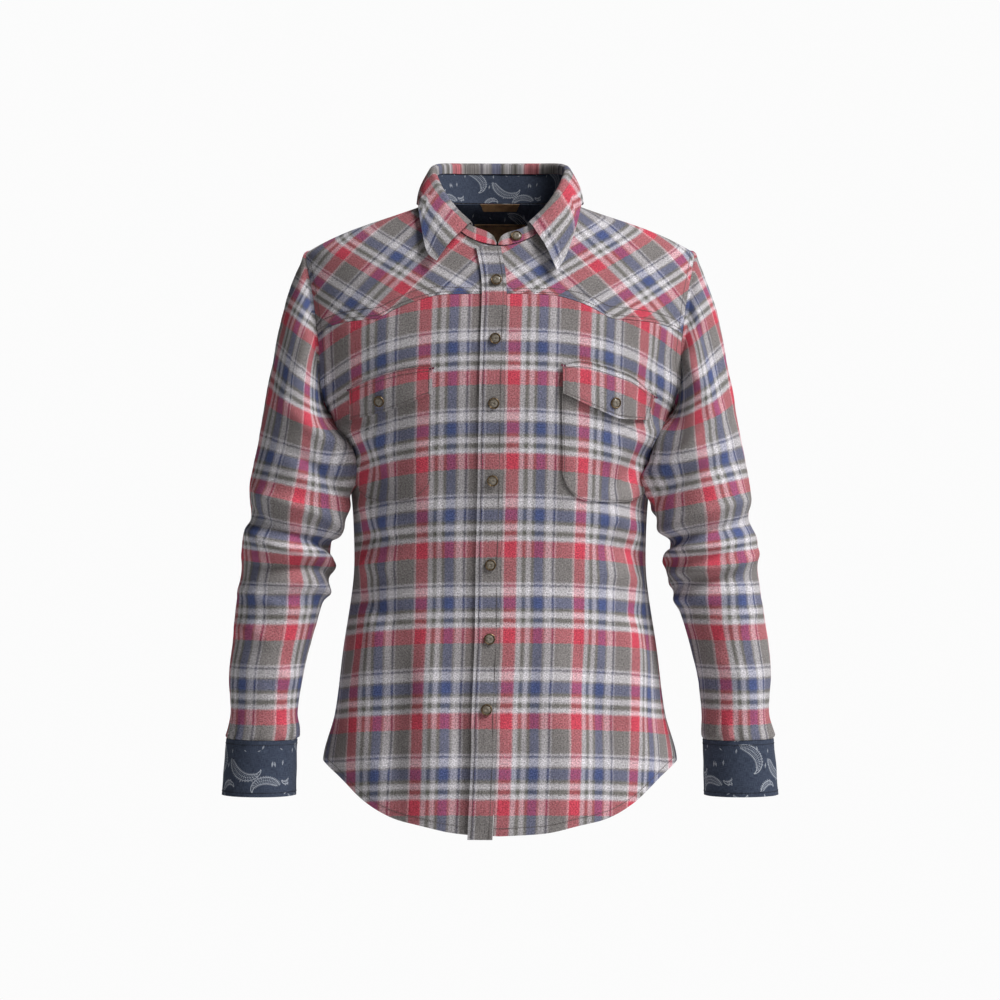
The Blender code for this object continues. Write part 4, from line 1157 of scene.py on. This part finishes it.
fold = table("angle x y z rise", [
    (28, 0.0340, -0.0735, -0.0258, 0.003), (45, 0.0530, -0.0590, -0.0060, 0.005),
    (62, 0.0680, -0.0390, 0.0165, 0.007), (80, 0.0760, -0.0150, 0.0345, 0.009),
    (100, 0.0790, 0.0130, 0.0475, 0.010), (120, 0.0720, 0.0360, 0.0545, 0.011),
    (150, 0.0420, 0.0590, 0.0575, 0.012), (180, 0.0000, 0.0640, 0.0580, 0.012)])
leafBack = [(80, 0.0960, -0.0290, 0.0010), (100, 0.0985, 0.0130, 0.0040), (120, 0.0890, 0.0400, 0.0030),
            (150, 0.0500, 0.0670, 0.0020), (180, 0.0000, 0.0730, 0.0020)]
leaf = {
    1: table("angle x y z", [(28, 0.0637, -0.0975, -0.0866), (45, 0.0765, -0.0905, -0.0620),
                             (62, 0.0885, -0.0740, -0.0330)] + leafBack),
    -1: table("angle x y z", [(28, 0.0715, -0.0955, -0.0725), (45, 0.0830, -0.0860, -0.0610),
                              (62, 0.0925, -0.0690, -0.0270)] + leafBack)}
collar = {"roll": 0.0034, "clear": 0.0036, "standEnd": {1: -1.5, -1: 3.5}, "corner": 14.0,
          "low": 0.0030, "gap": 0.0005, "lift": 0.0085, "belly": 0.0035, "columns": 76, "standRows": 8,
          "repeats": {1: 2.15, -1: 2.95}, "start": 0.42, "edgeBand": 0.12, "standBand": 0.25,
          "printReach": (0.280, 0.047), "printStart": (0.055, 0.022)}


def foldPoint(angle, side):
    point = Vector([along(fold, angle, axis) for axis in "xyz"])
    point.x *= side
    return point


def foldOut(angle, side):
    turn = math.radians(angle)
    return Vector((side * math.sin(turn), -math.cos(turn) * 1.1, 0.0)).normalized()


def neckPoint(angle, side):
    x, z = neckPlace(math.radians(angle))
    return bodyPoint(side * x, z, 1 if angle > 90 else -1)


def standTop(angle, side):
    if angle >= leafEnd:
        return foldPoint(angle, side) - Vector((0, 0, along(fold, angle, "rise") + seam))
    rise = standTop(leafEnd, side) - neckPoint(leafEnd, side)
    share = clamp((angle - collar["standEnd"][side]) / collar["corner"])
    height = mix(collar["low"] / rise.z, 1.0, math.sqrt(1.0 - (1.0 - share) ** 2))
    return neckPoint(angle, side) + rise * height


def ringAngle(share, end):
    # share runs from the wearer's right end (0) round the back to the left end (1)
    side = -1 if share < 0.5 else 1
    return mix(end[side], 180.0, 1.0 - abs(2 * share - 1)), side


def standPoint(angle, side, share, out):
    low = neckPoint(angle, side) + Vector((0, 0, collar["gap"]))
    return low.lerp(standTop(angle, side), share) + foldOut(angle, side) * out


def collarPlaid(angle, side):
    # the plaid's place along the collar, counted from the middle of the back
    turn = side * (180 - angle) / 180
    return collar["start"] - turn * collar["repeats"][side]


def makeStand():
    columns = collar["columns"] * 2
    rows = collar["standRows"]
    reach = collar["printReach"]
    start = collar["printStart"]

    def shell(name, out, thick, low, flat):
        def place(i, j):
            angle, side = ringAngle(i / columns, collar["standEnd"])
            up = j / rows
            return standPoint(angle, side, mix(low, 1.0, up), out), flat(angle, side, up)

        return clothShell(name, columns, rows, place, thick, 1)

    stand = shell("collar_stand_cloth", 0.0, wall["cloth"], 0.02,
                  lambda angle, side, up: (collarPlaid(angle, side),
                                           collar["edgeBand"] - up * collar["standBand"]))
    facing = shell("stand_facing_cloth", -wall["cloth"] - seam, wall["lining"], -0.02,
                   lambda angle, side, up: (side * (180 - angle) / 180 * reach[0] + start[0],
                                            up * reach[1] + start[1]))
    return stand, facing


def clearOfBody(point, gap):
    face = -1 if point.y < 0 else 1
    if point.z > neck["side"]:
        return point
    width = bodyWidth(point.z)
    near = bodyPoint(clamp(point.x, -width, width), point.z, face)
    normal = bodyNormal(near, face)
    short = gap - (point - near).dot(normal)
    return point + normal * max(short, 0.0)


def fallLine(angle, side):
    # the collar's cloth from its seam, over the fold and down to its edge
    crown = foldPoint(angle, side)
    away = foldOut(angle, side)
    rise = along(fold, angle, "rise")
    radius = min(collar["roll"], rise + 0.0002)
    up = Vector((0, 0, 1))
    start = standTop(angle, side) - away * wall["cloth"] + up * seam * 1.5
    centre = start + away * radius
    centre.z = crown.z - radius
    points = [start, start + up * max((centre.z - start.z) * 0.6, 0.0004)]
    for turn in (150, 120, 90, 60, 30):
        angleUp = math.radians(turn)
        points.append(centre + (away * math.cos(angleUp) + up * math.sin(angleUp)) * radius)
    edge = Vector([along(leaf[side], angle, axis) for axis in "xyz"])
    edge.x *= side
    base = points[-1]
    raised = collar["lift"] * (1.0 - smooth(leafEnd, 66.0, angle))
    for step in range(1, 15):
        share = step / 14
        belly = away * collar["belly"] * math.sin(math.pi * share)
        point = clearOfBody(base.lerp(edge, share) + belly, wall["collar"] + collar["clear"])
        points.append(point + away * raised * smooth(0.0, 0.55, share) * (1.0 - 0.35 * share))
    return points


def makeFall():
    columns = collar["columns"] * 2
    lines = []
    for i in range(columns + 1):
        angle, side = ringAngle(i / columns, {1: leafEnd, -1: leafEnd})
        lines.append((fallLine(angle, side), angle, side))
    rows = len(lines[0][0]) - 1

    def place(i, j):
        points, angle, side = lines[i]
        down = sum((points[k + 1] - points[k]).length for k in range(2, j)) if j > 2 else 0.0
        return points[j], (collarPlaid(angle, side), down / plaid["weftRepeat"] - collar["edgeBand"])

    return clothShell("collar_fall_cloth", columns, rows, place, wall["collar"], -1)


# Leather at the back of the neck

patchSize = {"hanger_loop": {"halfWidth": 0.0255, "top": 0.0106, "bottom": 0.0024, "wall": 0.0013},
             "neck_label": {"halfWidth": 0.0315, "top": -0.0125, "bottom": -0.0345, "wall": 0.0009}}
patchLift = 0.0026
patchDepth = wall["cloth"] + seam + wall["lining"] + patchLift
loopTaper = 0.0045                   # the loop is narrower at its lower end


def makePatch(name):
    size = patchSize[name]
    columns = 40
    rows = 14

    def place(i, j):
        narrow = loopTaper * (1.0 - j / rows) if name == "hanger_loop" else 0.0
        x = mix(-1.0, 1.0, i / columns) * (size["halfWidth"] - narrow)
        z = mix(size["bottom"], size["top"], j / rows)
        point = bodyPoint(x, z, 1)
        return point - bodyNormal(point, 1) * patchDepth, (x, z)

    return clothShell(name + "_leather", columns, rows, place, size["wall"], -1)


# Pieces and what the maker cuts them from

def handCloth(piece, material, node):
    hand(piece, material, node)


for side in (1, -1):
    name = sideName(side)
    handCloth(makeFront(side), flannel, f"front_{name}")
    handCloth(makeFrontYoke(side), flannel, f"yoke_front_{name}")
    handCloth(makePocket(side), flannel, f"pocket_{name}")
    handCloth(makeFlap(side), flannel, f"flap_{name}")
    print("front", name, "is sewn")
    handCloth(makeSleeve(side), flannel, f"sleeve_{name}")
    handCloth(makeCuff(side), chambray, f"cuff_{name}")
    print("sleeve", name, "is sewn")
handCloth(makeBack(), flannel, "back")
yoke, lining = makeBackYoke()
handCloth(yoke, flannel, "yoke_back")
handCloth(lining, chambray, "yoke_lining")
handCloth(makePlacket(), flannel, "placket")
stand, facing = makeStand()
handCloth(stand, flannel, "collar_stand")
handCloth(facing, chambray, "stand_facing")
handCloth(makeFall(), flannel, "collar_fall")
for name in patchSize:
    hand(makePatch(name), leather, name)
print("back and collar are sewn")


# Snaps: a rolled ring round a domed cap with a small pit in its middle

snap = {"radius": 0.0066, "cap": 0.0050, "height": 0.0023, "steps": 36, "seat": 0.0005}
frontSnaps = {"heights": [-0.0964, -0.1646, -0.2396, -0.3288, -0.4272, -0.5138, -0.5956],
              "fromMiddle": 0.0020}
flapSnap = {1: (0.1318, -0.2374), -1: (0.1378, -0.2355)}
neckSnapAngle = 15.5


def turnedPiece(name, profile, base, normal, closed):
    bm = bmesh.new()
    points = [bm.verts.new((radius, 0.0, height)) for radius, height in profile]
    edges = [bm.edges.new(pair) for pair in zip(points, points[1:])]
    if closed:
        edges.append(bm.edges.new((points[-1], points[0])))
    bmesh.ops.spin(bm, geom=points + edges, cent=(0, 0, 0), axis=(0, 0, 1),
                   angle=2 * math.pi, steps=snap["steps"], use_merge=True)
    bmesh.ops.remove_doubles(bm, verts=bm.verts, dist=weld)
    bmesh.ops.rotate(bm, verts=bm.verts, cent=(0, 0, 0), matrix=normal.to_track_quat("Z", "Y").to_matrix())
    bmesh.ops.translate(bm, verts=bm.verts, vec=base + normal * snap["seat"])
    return finishPiece(name, bm, 40)


def makeSnap(node, base, normal):
    outer, cap, high = snap["radius"], snap["cap"], snap["height"]
    middleOfRoll = (outer + cap) / 2
    half = (outer - cap) / 2
    roll = [(cap + seam, 0.0), (outer - 0.0004, 0.0), (outer, 0.0004)]
    for turn in range(0, 181, 30):
        angle = math.radians(turn)
        roll.append((middleOfRoll + half * math.cos(angle), high * 0.62 + high * 0.38 * math.sin(angle)))
    ring = turnedPiece(node + "_ring_turned", roll, base, normal, True)
    hand(ring, brass, node + "_ring")
    dome = [(0.0, 0.0), (cap, 0.0), (cap, high * 0.45), (cap * 0.96, high * 0.58), (cap * 0.80, high * 0.74),
            (cap * 0.55, high * 0.86), (cap * 0.34, high * 0.90), (cap * 0.26, high * 0.84),
            (cap * 0.20, high * 0.66), (0.0, high * 0.62)]
    capPiece = turnedPiece(node + "_cap_turned", dome, base, normal, False)
    hand(capPiece, pearl, node + "_cap")


def standSeat(angle, side):
    # middle of the stand's outer side, and the direction that it faces
    across = standPoint(angle + 6, side, 0.5, 0.0) - standPoint(angle - 6, side, 0.5, 0.0)
    up = standPoint(angle, side, 0.8, 0.0) - standPoint(angle, side, 0.2, 0.0)
    normal = across.cross(up).normalized()
    return standPoint(angle, side, 0.5, 0.0) + normal * lift, normal


for number, z in enumerate(frontSnaps["heights"], start=1):
    base, normal = bodyAxes(middle(z) + frontSnaps["fromMiddle"], z, -1, lift + wall["placket"])
    makeSnap(f"snap_front_{number}", base, normal)
for side, (x, z) in flapSnap.items():
    base, normal = bodyAxes(side * x, z, -1, flapOut(0.55, 0.6))
    makeSnap(f"snap_flap_{sideName(side)}", base, normal)
    base, normal = cuffPoint(side, 360 // cuff["step"] + 1, 0.5)
    makeSnap(f"snap_cuff_{sideName(side)}", base, normal)
makeSnap("snap_neck", *standSeat(neckSnapAngle, 1))
print("snaps are set")


# Stitches: short raised threads along a path of points and directions

stitch = {"pitch": 0.0031, "length": 0.0023, "width": 0.00062, "height": 0.00046, "out": 0.0001,
          "yokeRows": (0.08, 0.26), "hemRow": 0.20, "flapRows": (0.035, 0.15), "fromArmhole": 0.0052,
          "armholeSpread": {-1: 0.01, 1: 0.0}, "cuffRows": (0.075, 0.925), "leather": 0.8}


def stitchRun(bm, path, scale=1.0):
    gone = 0.0
    nextAt = stitch["pitch"] * 0.5
    for (start, normal), (end, _) in zip(path, path[1:]):
        run = (end - start).length
        while run > 0 and nextAt <= gone + run:
            place = start.lerp(end, (nextAt - gone) / run)
            ahead = (end - start).normalized()
            across = normal.cross(ahead).normalized()
            up = ahead.cross(across)
            turn = Matrix((ahead, across, up)).transposed().to_4x4()
            size = Matrix.Diagonal((stitch["length"] * scale, stitch["width"] * scale,
                                    stitch["height"] * scale, 1.0))
            bmesh.ops.create_cube(bm, size=1.0, matrix=Matrix.Translation(place) @ turn @ size)
            nextAt += stitch["pitch"] * scale
        gone += run


def steps(count):
    return [i / count for i in range(count + 1)]


def runOnBody(bm, side, points, face, out=0.0):
    stitchRun(bm, [bodyAxes(side * x, z, face, out + stitch["out"]) for x, z in points])


def panelStitches(bm, side, face, yokeLine, hemStart, seamHeight):
    # two rows above the yoke's seam, one along the hem and one round the armhole
    for row in stitch["yokeRows"]:
        runOnBody(bm, side, [yokeLine(t, row) for t in steps(90)], face)
    hem = [panelPlace(t, stitch["hemRow"], hemStart, seamHeight) for t in steps(90)]
    runOnBody(bm, side, [(x, z) for x, z in hem if x < bodyWidth(z) * 0.995], face)
    spread = stitch["armholeSpread"][face]
    around = [armWidth(mix(0.22, math.pi - 0.25, t)) for t in steps(60)]
    runOnBody(bm, side, [(x - stitch["fromArmhole"], z + (z - arm["height"]) * spread) for x, z in around],
              face)


def flapPath(side, places):
    path = []
    for across, down in places:
        x, z = flapPlace(side, across, down)
        path.append(bodyAxes(side * x, z, -1, flapOut(across, down) + stitch["out"]))
    return path


def frontStitches(side):
    bm = bmesh.new()
    panelStitches(bm, side, -1, lambda t, row: frontYokePlace(side, t, row),
                  lambda height: frontEdge(height, side), lambda across: frontYokeHeight(across, side))
    near, far = 0.02, 0.98
    outline = [pocketPlace(side, near, 1.0 - t) for t in steps(30)]
    outline += [pocketPlace(side, mix(near, far, 0.5 - 0.5 * math.cos(math.pi * t)), 0.013)
                for t in steps(60)]
    outline += [pocketPlace(side, far, t) for t in steps(30)]
    runOnBody(bm, side, outline, -1, lift + wall["pocket"])
    inset = 0.035
    rim = [(inset, t) for t in steps(14)] + [(mix(inset, 1 - inset, t), 0.93) for t in steps(50)]
    rim += [(1 - inset, 1.0 - t) for t in steps(14)]
    stitchRun(bm, flapPath(side, rim))
    for down in stitch["flapRows"]:
        stitchRun(bm, flapPath(side, [(t, down) for t in steps(50)]))
    return finishPiece(f"front_stitches_{sideName(side)}", bm)


def placketStitches():
    bm = bmesh.new()
    for place in (-placket["left"] + 0.0042, placket["right"] - 0.0040):
        heights = [mix(placket["bottom"] + 0.002, placket["top"] - 0.002, t) for t in steps(260)]
        runOnBody(bm, 1, [(middle(z) + place, z) for z in heights], -1, lift + wall["placket"])
    return finishPiece("placket_stitches", bm)


def backStitches():
    bm = bmesh.new()
    for side in (1, -1):
        panelStitches(bm, side, 1, backYokePlace, lambda height: 0.0, backYokeHeight)
    return finishPiece("back_stitches", bm)


def cuffStitches(side):
    bm = bmesh.new()
    last = 360 / cuff["step"] + cuff["lap"]
    low, high = stitch["cuffRows"]
    for share in (low, high):
        stitchRun(bm, [cuffPoint(side, mix(2.3, last - 0.3, t), share, stitch["out"]) for t in steps(130)])
    stitchRun(bm, [cuffPoint(side, last - 0.3, mix(low, high, t), stitch["out"]) for t in steps(30)])
    return finishPiece(f"cuff_stitches_{sideName(side)}", bm)


def collarStitches():
    bm = bmesh.new()
    columns = 150
    path = []
    for i in range(columns + 1):
        angle, side = ringAngle(i / columns, {1: leafEnd + 2.4, -1: leafEnd + 2.4})
        points = fallLine(angle, side)
        place = points[-2].lerp(points[-1], -0.15)
        ahead = fallLine(angle + 0.8, side)[-2] - points[-2]
        path.append((place, ahead.cross(points[-2] - points[-1]).normalized() * -side))
    stitchRun(bm, path)
    for side in (1, -1):
        points = fallLine(leafEnd + 2.4, side)[7:-1]
        other = fallLine(leafEnd + 4.0, side)[7:-1]
        path = []
        for point, beside, after in zip(points, other, points[1:] + points[-1:]):
            down = after - point if (after - point).length > 0 else path[-1][1]
            path.append((point, (beside - point).cross(down).normalized() * side))
        path[-1] = (path[-1][0], path[-2][1])
        stitchRun(bm, path)
    path = []
    for i in range(columns + 1):
        angle, side = ringAngle(i / columns, collar["standEnd"])
        path.append((standPoint(angle, side, 0.10, stitch["out"]), foldOut(angle, side)))
    stitchRun(bm, path)
    for side in (1, -1):
        angles = [mix(collar["standEnd"][side] + 1.0, leafEnd - 1, t) for t in steps(30)]
        stitchRun(bm, [(standPoint(angle, side, 0.88, stitch["out"]), foldOut(leafEnd, side))
                       for angle in angles])
    return finishPiece("collar_stitches", bm)


def leatherStitches():
    bm = bmesh.new()

    def inside(x, z, extra):
        point = bodyPoint(x, z, 1)
        normal = bodyNormal(point, 1)
        return point - normal * (patchDepth + extra), -normal

    for name, size in patchSize.items():
        half = size["halfWidth"] - 0.0018
        low = size["bottom"] + 0.0016
        top = size["top"] - 0.0016
        out = size["wall"] + stitch["out"]
        for x in (-half, half):
            stitchRun(bm, [inside(x, mix(low, top, t), out) for t in steps(12)], stitch["leather"])
        if name == "neck_label":
            for z in (low, top):
                stitchRun(bm, [inside(mix(-half, half, t), z, out) for t in steps(40)], stitch["leather"])
    return finishPiece("leather_stitches", bm)


def bartacks():
    # dense short bars where a flap's corners meet the front
    bm = bmesh.new()
    for side in (1, -1):
        for across in (0.0, 1.0):
            x, z = flapPlace(side, across, 0.04)
            for k in range(7):
                bar = [(x + 0.0045 * (t - 0.5), z - 0.0003 * k + 0.001 - 0.0012 * t) for t in steps(2)]
                runOnBody(bm, side, bar, -1, flapOut(across, 0.0))
    return finishPiece("bartacks", bm)


for side in (1, -1):
    hand(frontStitches(side), greyThread, None)
    hand(cuffStitches(side), navyThread, None)
hand(placketStitches(), greyThread, None)
hand(backStitches(), greyThread, None)
hand(collarStitches(), greyThread, None)
hand(leatherStitches(), navyThread, None)
hand(bartacks(), berryThread, None)
print("stitches are sewn")

# Studio

view = {"sensor": 36.0, "lens": 108.0, "place": (0.0, -3.6, -0.3516)}
studio = {"keyTurn": 59.0, "keyHeight": 47.0, "keyPower": 3.85, "keySpread": 22.0,
          "fillTurn": 0.0, "fillHeight": 20.0, "fillPower": 0.12, "fillSpread": 90.0,
          "sidePlace": (1.15, -1.05, 0.10), "sideAim": (0.12, -0.05, -0.30), "sideSize": 0.7,
          "sidePower": 3.8,
          "ambient": 0.034, "backdrop": 0.97,
          "floorSize": 8.0, "floorHeight": -2.4, "floorColour": (0.93, 0.93, 0.93)}


def makeCamera():
    camera = bpy.data.cameras.new("camera")
    camera.sensor_width = view["sensor"]
    camera.lens = view["lens"]
    stand = bpy.data.objects.new("camera", camera)
    stand.location = view["place"]
    stand.rotation_euler = (math.pi / 2, 0.0, 0.0)
    bpy.context.collection.objects.link(stand)
    return stand


def makeSun(name, turn, height, power, spread):
    lamp = bpy.data.lights.new(name, "SUN")
    lamp.energy = power
    lamp.angle = math.radians(spread)
    sun = bpy.data.objects.new(name, lamp)
    sun.rotation_euler = (math.radians(90.0 - height), 0.0, math.radians(turn))
    bpy.context.collection.objects.link(sun)


def makeSideLamp():
    lamp = bpy.data.lights.new("side", "AREA")
    lamp.energy = studio["sidePower"]
    lamp.size = studio["sideSize"]
    lampObject = bpy.data.objects.new("side", lamp)
    lampObject.location = studio["sidePlace"]
    aim = Vector(studio["sideAim"]) - lampObject.location
    lampObject.rotation_euler = aim.to_track_quat("-Z", "Y").to_euler()
    lampObject.visible_camera = False
    bpy.context.collection.objects.link(lampObject)


def makeWorld():
    # a dim even light from all round, and a white backdrop behind
    world = bpy.data.worlds.new("studio")
    world.use_nodes = True
    tree = world.node_tree
    around = tree.nodes["Background"]
    backdrop = tree.nodes.new("ShaderNodeBackground")
    for node, strength in ((around, studio["ambient"]), (backdrop, studio["backdrop"])):
        node.inputs["Color"].default_value = opaque((1.0, 1.0, 1.0))
        node.inputs["Strength"].default_value = strength
    seen = tree.nodes.new("ShaderNodeLightPath")
    choose = tree.nodes.new("ShaderNodeMixShader")
    for socket, item in zip(choose.inputs, (seen.outputs["Is Camera Ray"], around.outputs[0],
                                            backdrop.outputs[0])):
        tree.links.new(item, socket)
    tree.links.new(choose.outputs[0], tree.nodes["World Output"].inputs["Surface"])
    return world


def makeFloor():
    bm = bmesh.new()
    bmesh.ops.create_grid(bm, x_segments=1, y_segments=1, size=studio["floorSize"])
    bmesh.ops.translate(bm, verts=bm.verts, vec=(0, 0, studio["floorHeight"]))
    floor = finishPiece("floor", bm)
    paint = Nodes("pale_floor").surface({"Base Color": opaque(studio["floorColour"]), "Roughness": 0.9})
    floor.data.materials.append(paint)


bpy.context.scene.camera = makeCamera()
makeSun("key", studio["keyTurn"], studio["keyHeight"], studio["keyPower"], studio["keySpread"])
makeSun("fill", studio["fillTurn"], studio["fillHeight"], studio["fillPower"], studio["fillSpread"])
makeSideLamp()
bpy.context.scene.world = makeWorld()
bpy.context.scene.view_settings.view_transform = "Standard"
makeFloor()

print("the shirt is finished")
